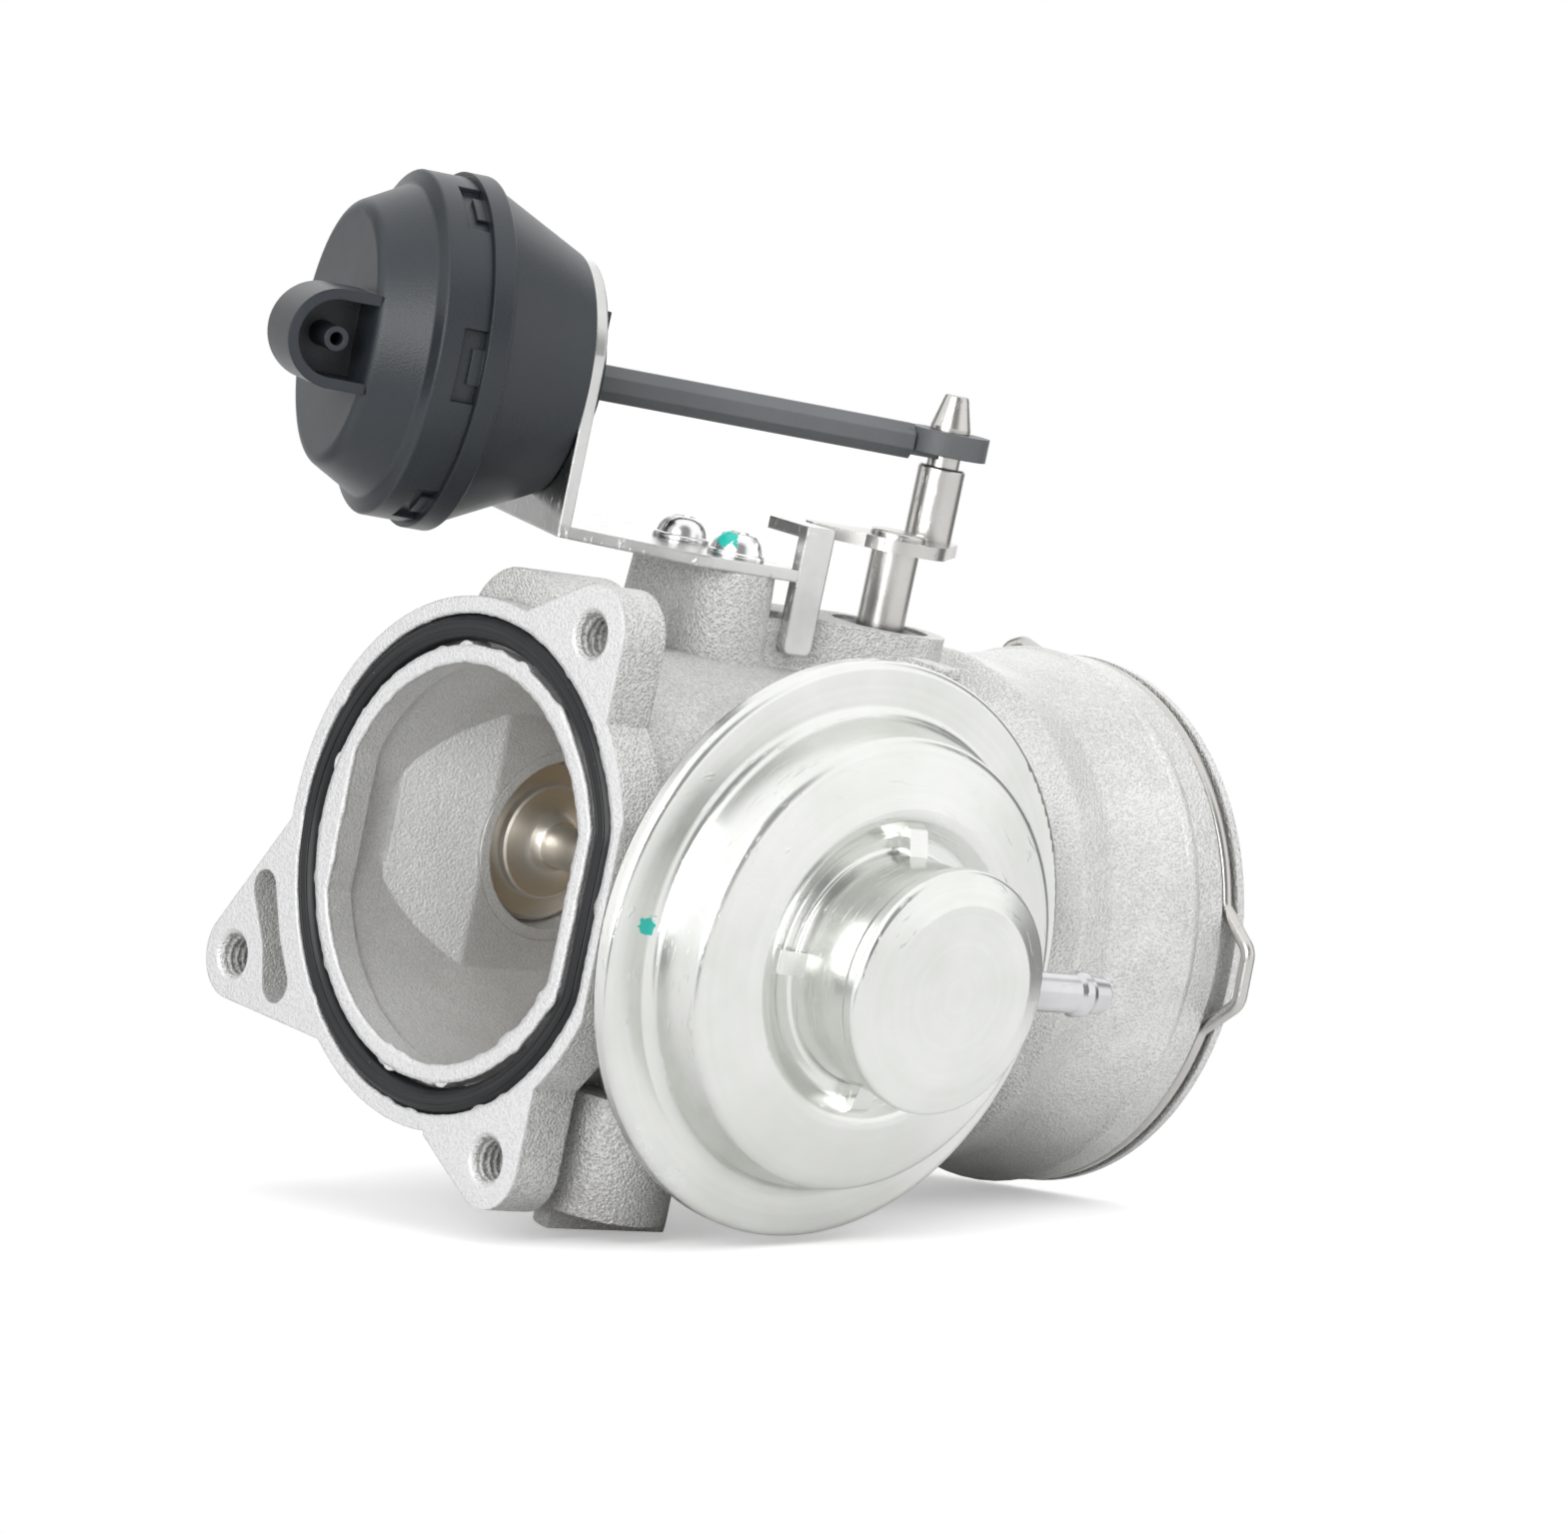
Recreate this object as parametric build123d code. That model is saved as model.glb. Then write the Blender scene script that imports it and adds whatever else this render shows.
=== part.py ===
from build123d import *
import math
import os

# EGR valve with a throttle flap: a cast aluminium gas body that bolts to an inlet
# manifold, a poppet valve lifted by a vacuum can, and a flap turned by a plastic
# vacuum actuator through a rod and crank. Millimetres, +Z up along the flap shaft.
# +X runs from the manifold flange to the hose socket, the can looks towards -Y, and
# the origin is the centre of the manifold opening on the flange face.

# Gas body ------------------------------------------------------------------------
BODY_LENGTH = 101.0         # flange face to the mouth of the hose socket
BORE_R = 24.6               # gas passage
BODY_R = 28.5               # outside of the passage tube
OPENING_R = 24.1            # lip of the manifold opening
OPENING_FLAT = 22.5         # half distance between the two flats of that lip
LIP_DEPTH = 4.0             # length of the lip
PAD_Y = 18.6                # flat on the +Y wall that carries the valve seat
PAD_START, PAD_END = 20.0, 44.0   # the flat's ends along X
PAD_RUN = 10.7              # length of the ramp at each end of the flat
PAD_EDGE_R = 2.0            # rounded edges of the flat

FLANGE_T = 6.5
FLANGE_R = BODY_R + 3.5
FLANGE_FLAT = BODY_R + 1.2  # the flange is cut straight on the can's side
EAR_TOP = (-17.15, 31.4, 6.0)     # Y, Z and radius of each bolt ear
EAR_SIDE = (38.4, -20.9, 5.5)
EAR_LOW = (-17.8, -31.6, 5.9)
EAR_BORE_R = 2.55           # tapped M6
EAR_CHAMFER = 0.65
EAR_BLEND_R = 0.9           # corners where the ears meet the round flange
EAR_FOOT_TOP = ((-5.1, 30.9), (-22.25, 21.4))
EAR_FOOT_SIDE = ((31.1, -2.2), (17.6, -25.5))
EAR_FOOT_LOW = ((-6.2, -31.4), (-22.8, -21.8))
KIDNEY = ((34.6, -11.4, 2.3), (31.2, -17.4, 1.8), (28.9, -22.0, 2.6))   # pocket of the side ear
KIDNEY_DEPTH = 4.5

GROOVE_R = FLANGE_R - 2.0   # O-ring groove, outer wall
GROOVE_W = 3.95
GROOVE_DEPTH = 2.9
GROOVE_FLAT = FLANGE_FLAT - 1.4   # straight stretch of the outer wall
GROOVE_CORNER_R = 8.0
O_RING_R = 1.62             # section of the O-ring
NUB_R = 1.8                 # nubs on the inner wall that hold the O-ring
NUB_H = 0.6
NUB_ANGLES = (15.4, 78.8, 104.2, -82.0, -105.1)   # from +Y towards +Z
SEAT_GAP = 0.05             # between a round piece and the seat that it lies on
FIT = 0.02                  # radial clearance of pieces pressed together
RUN = 0.05                  # radial clearance of pieces that turn or slide

# Hose socket
SOCKET_R = 34.3
SOCKET_BORE_R = 29.5
SOCKET_DEPTH = 16.0
SHOULDER_X = BODY_LENGTH - 35.0   # where the tube begins to widen
COLLAR_X, COLLAR_R = BODY_LENGTH - 27.5, 33.2
WAIST_X, WAIST_R = BODY_LENGTH - 21.5, 32.4
FLARE_X = BODY_LENGTH - 10.0
CLIP_X = BODY_LENGTH - 2.8        # middle of the clip groove
CLIP_GROOVE_W = 2.8
CLIP_GROOVE_R = 32.4
CLIP_WIRE_R = 0.9
CLIP_BOWS = ((178.0, 4.6, 8.0, 3.4), (66.0, 3.0, 6.4, 1.2))
# Each bow: angle from +Y towards +Z, height, half width at its foot and at its top
CLIP_BOW_SINK = 1.0
CLIP_BEND_R = 2.2
CLIP_GAP_ANGLE, CLIP_GAP_W = -50.0, 22.0

# Valve: everything on the axis that runs along Y through (VALVE_X, VALVE_Z)
VALVE_X, VALVE_Z = 31.63, 0.09
VALVE_TRAVEL = 7.0
STEM_R = 2.75
THROAT_R = 9.3
SEAT_BORE_R = 10.75
SEAT_OUTER_R = 12.2
SEAT_COLLAR_R = 13.4
SEAT_COLLAR_T = 3.0
SEAT_LENGTH = 7.4
POPPET_RIM_T = 1.5
PORT_R = 11.5
PORT_BOSS_R = 17.0
PORT_FACE_Y = 44.0
PORT_FLANGE_T = 9.0
PORT_PCD = 44.0
PORT_HOLE_R = 3.4           # tapped M8
PORT_LOBE_R = 8.5
PORT_ANGLE = 45.0           # bolt line, from +X towards +Z
GUIDE_Y = 15.5              # inner end of the stem guide, on the -Y side
GUIDE_R = 5.0
GUIDE_BOSS_R = 7.5
GUIDE_BOSS_Y = 17.0
SHIELD_T = 2.0

# Vacuum can, distances measured from the passage axis towards -Y
CAN_PAD_D = BODY_R + 0.9    # machined face of the casting
CAN_PAD_R = 26.0
GASKET_R, GASKET_T = 24.6, 0.6
PAN_T = 0.8
PAN_R = 31.4                # rear corner of the pan
PAN_MOUTH_R = 32.2
PAN_DEPTH = 3.9             # pan back to the rear of its flange
PAN_FLANGE_R = 34.0
DIAPHRAGM_T = 0.6
COVER_T = 0.8
RIM_R = 35.0
CRIMP_R = 32.9              # inner edge of the folded rim
RING_FOOT_R, RING_TOP_R = 28.7, 27.1
RING_H = 7.1                # rim face to the shoulder of the raised ring
NECK_R, NECK_H = 13.9, 17.0
VALLEY_R, VALLEY_H = NECK_R + 1.9, 7.5
CROWN_R, CROWN_H = VALLEY_R + 2.8, 9.1
BEAD_R, BEAD_H = NECK_R + 0.7, 1.8
BEAD_RISE = 0.9             # from the neck to the bead
CAP_R, CAP_H = NECK_R - 3.1, 21.3
GUSSETS = 4                 # pinched ribs at the foot of the neck
GUSSET_W = 2.8
GUSSET_REACH = 1.4
GUSSET_TIP, GUSSET_RISE = 1.3, 2.4
GUSSET_SINK = 0.3
PLATE_T = 1.0
REAR_PLATE_R = 16.5
FRONT_PLATE_R = 15.6
RIVET_R, RIVET_H = 3.4, 1.5
STEM_END_R = 2.0
PLATE_GAP = 1.2             # pan back to the rear plate with the valve shut
SPRING_WIRE_R, SPRING_TURNS = 0.9, 3.0
SPRING_R = NECK_R - COVER_T - SPRING_WIRE_R - 2.0
CUP_T = 0.8
CAN_SCREWS = 3
CAN_SCREW_PCR = 22.0        # radius of the circle of screws
CAN_SCREW_R = 1.95
CAN_SCREW_DEPTH = 5.0
CAN_HEAD_R, CAN_HEAD_H = 3.2, 2.0
NIPPLE_DROP = 7.2           # from the face of the cap back to the nipple
NIPPLE_R, NIPPLE_BORE_R = 2.4, 1.5
NIPPLE_LENGTH = 16.0        # beyond the can's neck
NIPPLE_BEAD_R = 2.8
NIPPLE_BEAD_FROM, NIPPLE_BEAD_TO = 10.8, 13.3
NIPPLE_FLARE_R = 3.0

# Flap, shaft and crank
SHAFT_X = 60.0
SHAFT_R = 3.05
SHAFT_TOP = 44.6            # underside of the crank lever
SHAFT_TENON_R = 2.4
BOSS_R = 8.3
BOSS_TOP = 35.0
BOSS_BOTTOM = -35.0
BUSH_R, BUSH_L = 4.6, 7.0
SEAL_R, SEAL_T = 6.1, 1.5
PLUG_R, PLUG_T = 5.6, 1.2
FLAP_R, FLAP_T = 24.3, 2.0
FLAP_SCREW_Z = 9.0
FLAP_SCREW_R = 1.45
FLAP_HEAD_R, FLAP_HEAD_H = 2.6, 1.6
SHAFT_FLAT = 2.6            # seat of the flap screws, from the shaft axis
LEVER_T = 1.6
LEVER_HUB_R = 6.3
LEVER_EYE_R = 4.0
LEVER_TAIL, LEVER_TAIL_R = 9.8, 2.2
LEVER_TAIL_ANGLE = 150.0
CRANK_R = 9.5               # shaft to crank pin
CRANK_ANGLE = 25.5          # crank at rest, from +X
HEAD_R, HEAD_H = 3.6, 0.8
PIN_R = 3.05
PIN_SHOULDER = 9.3          # height of the pin's thick part above the lever
PIN_NECK_R = 2.1
PIN_NECK_H = 4.6
PIN_CONE_R, PIN_TIP_R, PIN_CONE_H = 2.6, 1.5, 4.6

# Flap actuator: its axis is turned from +X, offset from the shaft and level
ACT_YAW = -20.5
ACT_OFFSET = 8.0            # actuator axis to shaft axis
ACT_ZERO = 53.903           # back from the shaft's foot on the axis to station 0
ACT_Z = 58.0
DOME_FACE, DOME_FACE_R = -20.45, 16.06
DOME_BASE, DOME_BASE_R = -14.3, 19.35
RING_FRONT, RING_R = -13.57, 21.33
JOINT_S = -8.0              # parting plane of cover and body
ACT_FLANGE_T, ACT_FLANGE_R = 2.9, 22.0
CONE_R = 21.2
CONE_END, CONE_END_R = 7.8, 15.0
SHELL_T = 2.0
WINDOWS = 6
WINDOW_ARC = 24.0
WINDOW_W, WINDOW_DEPTH = 3.0, 0.8
HOOK_T = 0.5
SHROUD_S = -24.6            # centre of the hose shroud
SHROUD_R, SHROUD_T = 6.0, 1.3
SHROUD_FROM, SHROUD_TO = -15.5, -5.7
SHROUD_BACK_T = 2.5
NOZZLE_R, NOZZLE_BORE_R = 1.5, 0.8
NOZZLE_TIP = 0.3            # the nozzle ends this far inside the shroud
ACT_RIM_R, ACT_RIM_T = 20.3, 0.55
PISTON_S, PISTON_T, PISTON_R = -0.5, 1.5, 12.0
PISTON_LIP = 3.0
ACT_SPRING_R, ACT_SPRING_WIRE_R, ACT_SPRING_TURNS = 8.4, 0.8, 3
ROD_FLATS = 4.4             # octagonal rod, across flats
ROD_PLATE_R, ROD_PLATE_T = 7.5, 1.0
ROD_NECK_FROM_PIN = 5.2
ROD_NECK_W = 3.2
EYE_R, EYE_T, EYE_BELOW = 5.2, 3.0, 1.0
NECK_TUBE_R, ROD_HOLE_R = 6.0, 4.3
NECK_TUBE_L = 4.0
RETAINER_R, RETAINER_T = 8.4, 2.3
TAB_W, TAB_H, TAB_Q = 5.0, 8.9, -3.5
TAB_ROOT = 3.0

# Bracket
SHEET_T = 1.5
BRACKET_TOP_R = 14.5
BRACKET_HALF_W = 14.0
BEND_R = 1.2
BASE_TOP = 40.8
BASE_CORNER = (28.9, -1.4)  # corners of the base, seen from above
BASE_NOTCH_Y = 6.0
BASE_BACK = (43.0, 17.0)
BASE_RUN = 6.0
BASE_SCREWS = ((36.7, 13.7), (36.1, 2.1))
BASE_SCREW_R = 1.95
BASE_SCREW_DEPTH = 9.0
BASE_HEAD_R, BASE_HEAD_H = 3.6, 3.0
STRIP_FROM, STRIP_TO = 41.5, 46.0
STRIP_Y = -4.0
STRIP_BOTTOM = 30.4
STRIP_TOP = 46.3
STRIP_TAB = 6.0

# Castings round the passage
PILLAR_R = 5.3
PILLAR_DRAFT = 1.2
ROOT_DEPTH = 9.0            # how deep pillars and tongues reach into the tube
LEDGE_END, LEDGE_TOP = 50.5, 34.3   # ledge behind the bracket's strip
LEDGE_BACK = 8.0
WEB_LOBE = (44.0, 4.0, 4.0)         # web between pillar and shaft boss
TOP_BOSS_Y, TOP_BOSS_Z, TOP_BOSS_R = 1.0, 27.5, 8.6
TOP_BOSS_END = 16.0
LEG_LOBES = ((17.2, -20.0, 7.7, -36.5), (26.0, -10.0, 8.0, -39.0))
LEG_TOP = -22.0
RIM_LUG_X, RIM_LUG_W = 45.0, 4.0
RIM_LUG_Z, RIM_LUG_H = 33.0, 1.4

# Derived values ------------------------------------------------------------------
PAN_D = CAN_PAD_D + GASKET_T
CLAMP_D = PAN_D + PAN_DEPTH + PAN_T
COVER_D = CLAMP_D + DIAPHRAGM_T + COVER_T      # face of the rim
REAR_PLATE_D = PAN_D + PAN_T + PLATE_GAP
WEB_D = REAR_PLATE_D + PLATE_T
FRONT_PLATE_D = WEB_D + DIAPHRAGM_T
CAP_D = COVER_D + CAP_H
NIPPLE_D = CAP_D - NIPPLE_DROP
SEAT_COLLAR_Y = PAD_Y + SEAT_LENGTH - SEAT_COLLAR_T
SEAT_END_Y = PAD_Y + SEAT_LENGTH
SEAT_CONE_Y = SEAT_END_Y - 2.0                 # narrow end of the 45 degree seat
LEVER_TOP = SHAFT_TOP + LEVER_T
YAW = math.radians(ACT_YAW)
CRANK = math.radians(CRANK_ANGLE)
PIN_X = SHAFT_X + CRANK_R * math.cos(CRANK)
PIN_Y = CRANK_R * math.sin(CRANK)
ACT_X = SHAFT_X - ACT_OFFSET * math.sin(YAW) - ACT_ZERO * math.cos(YAW)
ACT_Y = ACT_OFFSET * math.cos(YAW) - ACT_ZERO * math.sin(YAW)
PIN_S = ACT_ZERO + CRANK_R * math.cos(CRANK - YAW)
ROD_Q = CRANK_R * math.sin(CRANK - YAW) - ACT_OFFSET
ROD_SWING = CRANK_R * (1 - math.sin(CRANK - YAW))    # sideways motion of the rod
HOLE_Q = ROD_Q + ROD_SWING / 2
BASE_BOTTOM = BASE_TOP - SHEET_T
ROD_PLATE_S = PISTON_S + PISTON_T + ACT_RIM_T

# Frames: local Z runs along each axis
TUBE = Plane(origin=(0, 0, 0), x_dir=(0, 1, 0), z_dir=(1, 0, 0))
CAN = Plane(origin=(VALVE_X, 0, VALVE_Z), x_dir=(1, 0, 0), z_dir=(0, -1, 0))
PORT = Plane(origin=(VALVE_X, 0, VALVE_Z), x_dir=(1, 0, 0), z_dir=(0, 1, 0))
SHAFT = Plane(origin=(SHAFT_X, 0, 0), x_dir=(1, 0, 0), z_dir=(0, 0, 1))
PIN = Plane(origin=(PIN_X, PIN_Y, 0), x_dir=(1, 0, 0), z_dir=(0, 0, 1))
ALONG = (math.cos(YAW), math.sin(YAW), 0)
ACROSS = (-math.sin(YAW), math.cos(YAW), 0)
ACTUATOR = Plane(origin=(ACT_X, ACT_Y, ACT_Z), x_dir=ACROSS, z_dir=ALONG)


# Helpers -------------------------------------------------------------------------
def outline(points):
    """Closed flat face through points; a third value rounds that corner."""
    face = make_face(Polyline(*[p[:2] for p in points], close=True))
    for p in points:
        if len(p) == 3:
            face = fillet(face.vertices().sort_by_distance((p[0], p[1], 0))[0], p[2])
    return face


def turn(points):
    """Solid of revolution about local Z from (radius, height) points."""
    return revolve(Plane.XZ * outline(points), axis=Axis.Z)


def ring(inner, outer, start, end):
    """Plain ring about local Z."""
    return turn([(inner, start), (outer, start), (outer, end), (inner, end)])


def rod(radius, start, end):
    """Plain round bar about local Z."""
    base = (Align.CENTER, Align.CENTER, Align.MIN)
    return Pos(0, 0, start) * Cylinder(radius, end - start, align=base)


def sheet(path, thickness):
    """Points round a wall of even thickness on the left-hand side of a polyline."""
    spots = [complex(p[0], p[1]) for p in path]
    runs = [(b - a) / abs(b - a) for a, b in zip(spots, spots[1:])]
    back = []
    for i, spot in enumerate(spots):
        before = runs[max(i - 1, 0)]
        after = runs[min(i, len(runs) - 1)]
        mean = (before + after) / abs(before + after)
        half = (mean * before.conjugate()).real
        moved = spot + mean * 1j * thickness / half
        point = (moved.real, moved.imag)
        if len(path[i]) == 3:
            left_turn = (after * before.conjugate()).imag > 0
            inner = path[i][2] - thickness if left_turn else path[i][2] + thickness
            if inner > 0.05:
                point += (inner,)
        back.append(point)
    return list(path) + back[::-1]


def hull(*circles):
    """Flat outline stretched round (x, y, radius) circles."""
    edges = ShapeList()
    for x, y, radius in circles:
        edges += (Pos(x, y) * Circle(radius)).edges()
    return make_hull(edges)


def helix_spring(radius, wire, turns, start, end):
    """Open coil spring about local Z between two flat seats."""
    low = start + wire + SEAT_GAP
    height = end - start - 2 * (wire + SEAT_GAP)
    path = Pos(0, 0, low) * Helix(height / turns, height, radius)
    section = Plane(origin=path @ 0, z_dir=path % 0) * Circle(wire)
    return sweep(section, path=path)


def wire_loop(face, radius):
    """Round wire bent along the edge of a flat face."""
    path = face.face().outer_wire()
    section = Plane(origin=path @ 0, z_dir=path % 0) * Circle(radius)
    return sweep(section, path=path)


# Gas body ------------------------------------------------------------------------
def cut_disc(radius, flat, corner):
    """Disc with one straight side towards local -X, its two corners rounded."""
    disc = Circle(radius) - Pos(-flat - radius, 0) * Rectangle(2 * radius, 3 * radius)
    if corner:
        disc = fillet(disc.vertices(), corner)
    return disc


def flange_plate():
    plate = cut_disc(FLANGE_R, FLANGE_FLAT, 0)
    ears = ((EAR_TOP, EAR_FOOT_TOP), (EAR_SIDE, EAR_FOOT_SIDE), (EAR_LOW, EAR_FOOT_LOW))
    for ear, feet in ears:
        plate += hull(ear, *[(y, z, EAR_BLEND_R) for y, z in feet])
    return TUBE * extrude(plate, FLANGE_T)


def flange_cuts():
    outer = cut_disc(GROOVE_R, GROOVE_FLAT, GROOVE_CORNER_R)
    inner = cut_disc(GROOVE_R - GROOVE_W, GROOVE_FLAT - GROOVE_W, GROOVE_CORNER_R - GROOVE_W)
    for angle in NUB_ANGLES:
        inner += Rot(0, 0, angle) * Pos(GROOVE_R - GROOVE_W + NUB_H - NUB_R, 0) * Circle(NUB_R)
    cuts = TUBE * extrude(outer - inner, GROOVE_DEPTH)
    for y, z, _ in (EAR_TOP, EAR_SIDE, EAR_LOW):
        mouth = EAR_BORE_R + EAR_CHAMFER
        hole = turn([
            (0, 0), (mouth, 0), (EAR_BORE_R, EAR_CHAMFER), (EAR_BORE_R, FLANGE_T), (0, FLANGE_T)])
        cuts += TUBE * (Pos(y, z) * hole)
    upper, middle, lower = KIDNEY
    kidney = hull(upper, middle) + hull(middle, lower)
    return cuts + TUBE * extrude(kidney, KIDNEY_DEPTH)


def tube_blank():
    clip_from = CLIP_X - CLIP_GROOVE_W / 2
    clip_to = CLIP_X + CLIP_GROOVE_W / 2
    return TUBE * turn([
        (0, 0), (BODY_R, 0), (BODY_R, SHOULDER_X, 4.0), (COLLAR_R, COLLAR_X, 1.2),
        (WAIST_R, WAIST_X, 3.0), (SOCKET_R, FLARE_X, 6.0), (SOCKET_R, clip_from),
        (CLIP_GROOVE_R, clip_from), (CLIP_GROOVE_R, clip_to),
        (SOCKET_R, clip_to), (SOCKET_R, BODY_LENGTH, 0.5), (0, BODY_LENGTH)])


def passage():
    lip = Circle(OPENING_R) & Rectangle(2 * OPENING_FLAT, 2 * OPENING_R)
    socket_from = BODY_LENGTH - SOCKET_DEPTH
    bore = TUBE * turn([
        (0, LIP_DEPTH), (BORE_R, LIP_DEPTH), (BORE_R, socket_from - 1.0), (BORE_R + 1.0, socket_from),
        (SOCKET_BORE_R, socket_from), (SOCKET_BORE_R, BODY_LENGTH), (0, BODY_LENGTH)])
    wall = outline([
        (PAD_START - PAD_RUN, BORE_R - 1.0), (PAD_START, PAD_Y, PAD_EDGE_R), (PAD_END, PAD_Y, PAD_EDGE_R),
        (PAD_END + PAD_RUN, BORE_R - 1.0), (PAD_END + PAD_RUN, BODY_R), (PAD_START - PAD_RUN, BODY_R)])
    bore -= extrude(wall, BORE_R, both=True)
    guide_boss = CAN * turn([
        (0, GUIDE_BOSS_Y), (GUIDE_BOSS_R, GUIDE_BOSS_Y, 0.8), (GUIDE_BOSS_R, BODY_R), (0, BODY_R)])
    return bore - guide_boss + TUBE * extrude(lip, LIP_DEPTH)


def port_lobes(radius):
    angle = math.radians(PORT_ANGLE)
    reach = PORT_PCD / 2
    x, z = reach * math.cos(angle), reach * math.sin(angle)
    return [(x, -z, radius), (-x, z, radius)]


def egr_port_boss():
    boss = rod(PORT_BOSS_R, 0, PORT_FACE_Y)
    plate = extrude(hull((0, 0, PORT_BOSS_R), *port_lobes(PORT_LOBE_R)), PORT_FLANGE_T)
    return PORT * (boss + Pos(0, 0, PORT_FACE_Y - PORT_FLANGE_T) * plate)


def valve_bores():
    cuts = PORT * rod(SEAT_OUTER_R + FIT, 0, SEAT_COLLAR_Y)
    cuts += PORT * rod(SEAT_COLLAR_R + FIT, SEAT_COLLAR_Y, SEAT_END_Y)
    cuts += PORT * rod(PORT_R, SEAT_END_Y, PORT_FACE_Y)
    for x, y, radius in port_lobes(PORT_HOLE_R):
        cuts += PORT * (Pos(x, y) * rod(radius, PORT_FACE_Y - PORT_FLANGE_T, PORT_FACE_Y))
    cuts += CAN * rod(GUIDE_R + FIT, 0, CAN_PAD_D)
    for spot in can_screw_spots():
        cuts += CAN * (spot * rod(CAN_SCREW_R + FIT, CAN_PAD_D - CAN_SCREW_DEPTH, CAN_PAD_D))
    return cuts


def can_screw_spots():
    return PolarLocations(CAN_SCREW_PCR, CAN_SCREWS, start_angle=90).local_locations


def shaft_bores():
    return SHAFT * (
        rod(BUSH_R + FIT, BOSS_TOP - SEAL_T - BUSH_L, BOSS_TOP)
        + rod(SEAL_R + FIT, BOSS_TOP - SEAL_T, BOSS_TOP)
        + rod(BUSH_R + FIT, BOSS_BOTTOM, BOSS_BOTTOM + PLUG_T + BUSH_L)
        + rod(PLUG_R + FIT, BOSS_BOTTOM, BOSS_BOTTOM + PLUG_T)
        + rod(SHAFT_R + 4 * RUN, BOSS_BOTTOM, BOSS_TOP))


def pillar():
    top = hull(*[(x, y, PILLAR_R) for x, y in BASE_SCREWS])
    foot = hull(*[(x, y, PILLAR_R + PILLAR_DRAFT) for x, y in BASE_SCREWS])
    low = Plane.XY.offset(BODY_R - ROOT_DEPTH)
    return loft([low * foot.face(), Plane.XY.offset(BASE_BOTTOM) * top.face()])


def shaft_web():
    """Web from the pillar to the shaft boss, and the ledge that backs the strip."""
    low = BODY_R - ROOT_DEPTH
    web = Pos(0, 0, low) * extrude(hull((SHAFT_X, 0, BOSS_R), WEB_LOBE), BOSS_TOP - low)
    x, _ = BASE_SCREWS[1]
    front = STRIP_Y + SHEET_T
    ledge = outline([
        (x, front), (LEDGE_END, front, 0.6), (LEDGE_END, front + LEDGE_BACK, 2.0), (x, front + LEDGE_BACK)])
    return web + Pos(0, 0, low) * extrude(ledge, LEDGE_TOP - low)


def leg():
    (x0, y0, r0, z0), (x1, y1, r1, z1) = LEG_LOBES
    low = min(z0, z1)
    solid = Pos(0, 0, low) * extrude(hull((x0, y0, r0), (x1, y1, r1)), LEG_TOP - low)
    solid -= Pos(x0, y0 - r0, low - 1) * extrude(Rectangle(4 * r0, 2 * r0), z0 - low + 1)
    return solid


def rim_lug():
    """Small tongue of the casting that stops just above the can's rim."""
    top = RIM_LUG_Z + RIM_LUG_H
    tongue = outline([
        (-PAN_D, RIM_LUG_Z), (-PAN_D, top, 0.5), (-PAN_D + 7.0, top, 2.0),
        (-BODY_R / 2, BODY_R - 3.0), (-BODY_R / 2, BODY_R - ROOT_DEPTH),
        (-BODY_R + 5.0, BODY_R - ROOT_DEPTH), (-BODY_R + 2.0, RIM_LUG_Z)])
    return Pos(RIM_LUG_X, 0, 0) * extrude(Plane.YZ * tongue, RIM_LUG_W / 2, both=True)


def housing_casting():
    body = flange_plate() + tube_blank() + egr_port_boss() + pillar() + shaft_web() + leg() + rim_lug()
    body += CAN * rod(CAN_PAD_R, 0, CAN_PAD_D)
    body += SHAFT * turn([
        (0, BOSS_BOTTOM), (BOSS_R - 1.0, BOSS_BOTTOM), (BOSS_R, BOSS_BOTTOM + 1.0),
        (BOSS_R, BOSS_TOP - 0.5), (BOSS_R - 0.5, BOSS_TOP), (0, BOSS_TOP)])
    body += Pos(0, TOP_BOSS_Y, TOP_BOSS_Z) * (Plane.YZ * rod(TOP_BOSS_R, FLANGE_T / 2, TOP_BOSS_END))
    body -= passage() + flange_cuts()
    body -= valve_bores() + shaft_bores()
    for x, y in BASE_SCREWS:
        body -= Pos(x, y) * rod(BASE_SCREW_R + FIT, BASE_BOTTOM - BASE_SCREW_DEPTH, BASE_BOTTOM)
    return body


def manifold_o_ring():
    inset = O_RING_R + SEAT_GAP
    line = cut_disc(GROOVE_R - inset, GROOVE_FLAT - inset, GROOVE_CORNER_R - inset)
    return Pos(GROOVE_DEPTH - O_RING_R - SEAT_GAP, 0, 0) * (TUBE * wire_loop(line, O_RING_R))


def socket_clip():
    radius = CLIP_GROOVE_R + CLIP_WIRE_R + SEAT_GAP
    line = Circle(radius)
    for angle, height, foot, top in CLIP_BOWS:
        root = radius - CLIP_BOW_SINK
        bow = outline([
            (radius / 2, -foot), (root, -foot), (radius + height, -top), (radius + height, top),
            (root, foot), (radius / 2, foot)])
        line += Rot(0, 0, angle) * bow
    line = fillet(line.vertices(), CLIP_BEND_R)
    clip = wire_loop(line, CLIP_WIRE_R)
    gap = Rot(0, 0, CLIP_GAP_ANGLE) * Pos(radius, 0, 0) * Box(BORE_R, CLIP_GAP_W, 4 * CLIP_WIRE_R)
    return Pos(CLIP_X, 0, 0) * (TUBE * (clip - gap))


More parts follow.
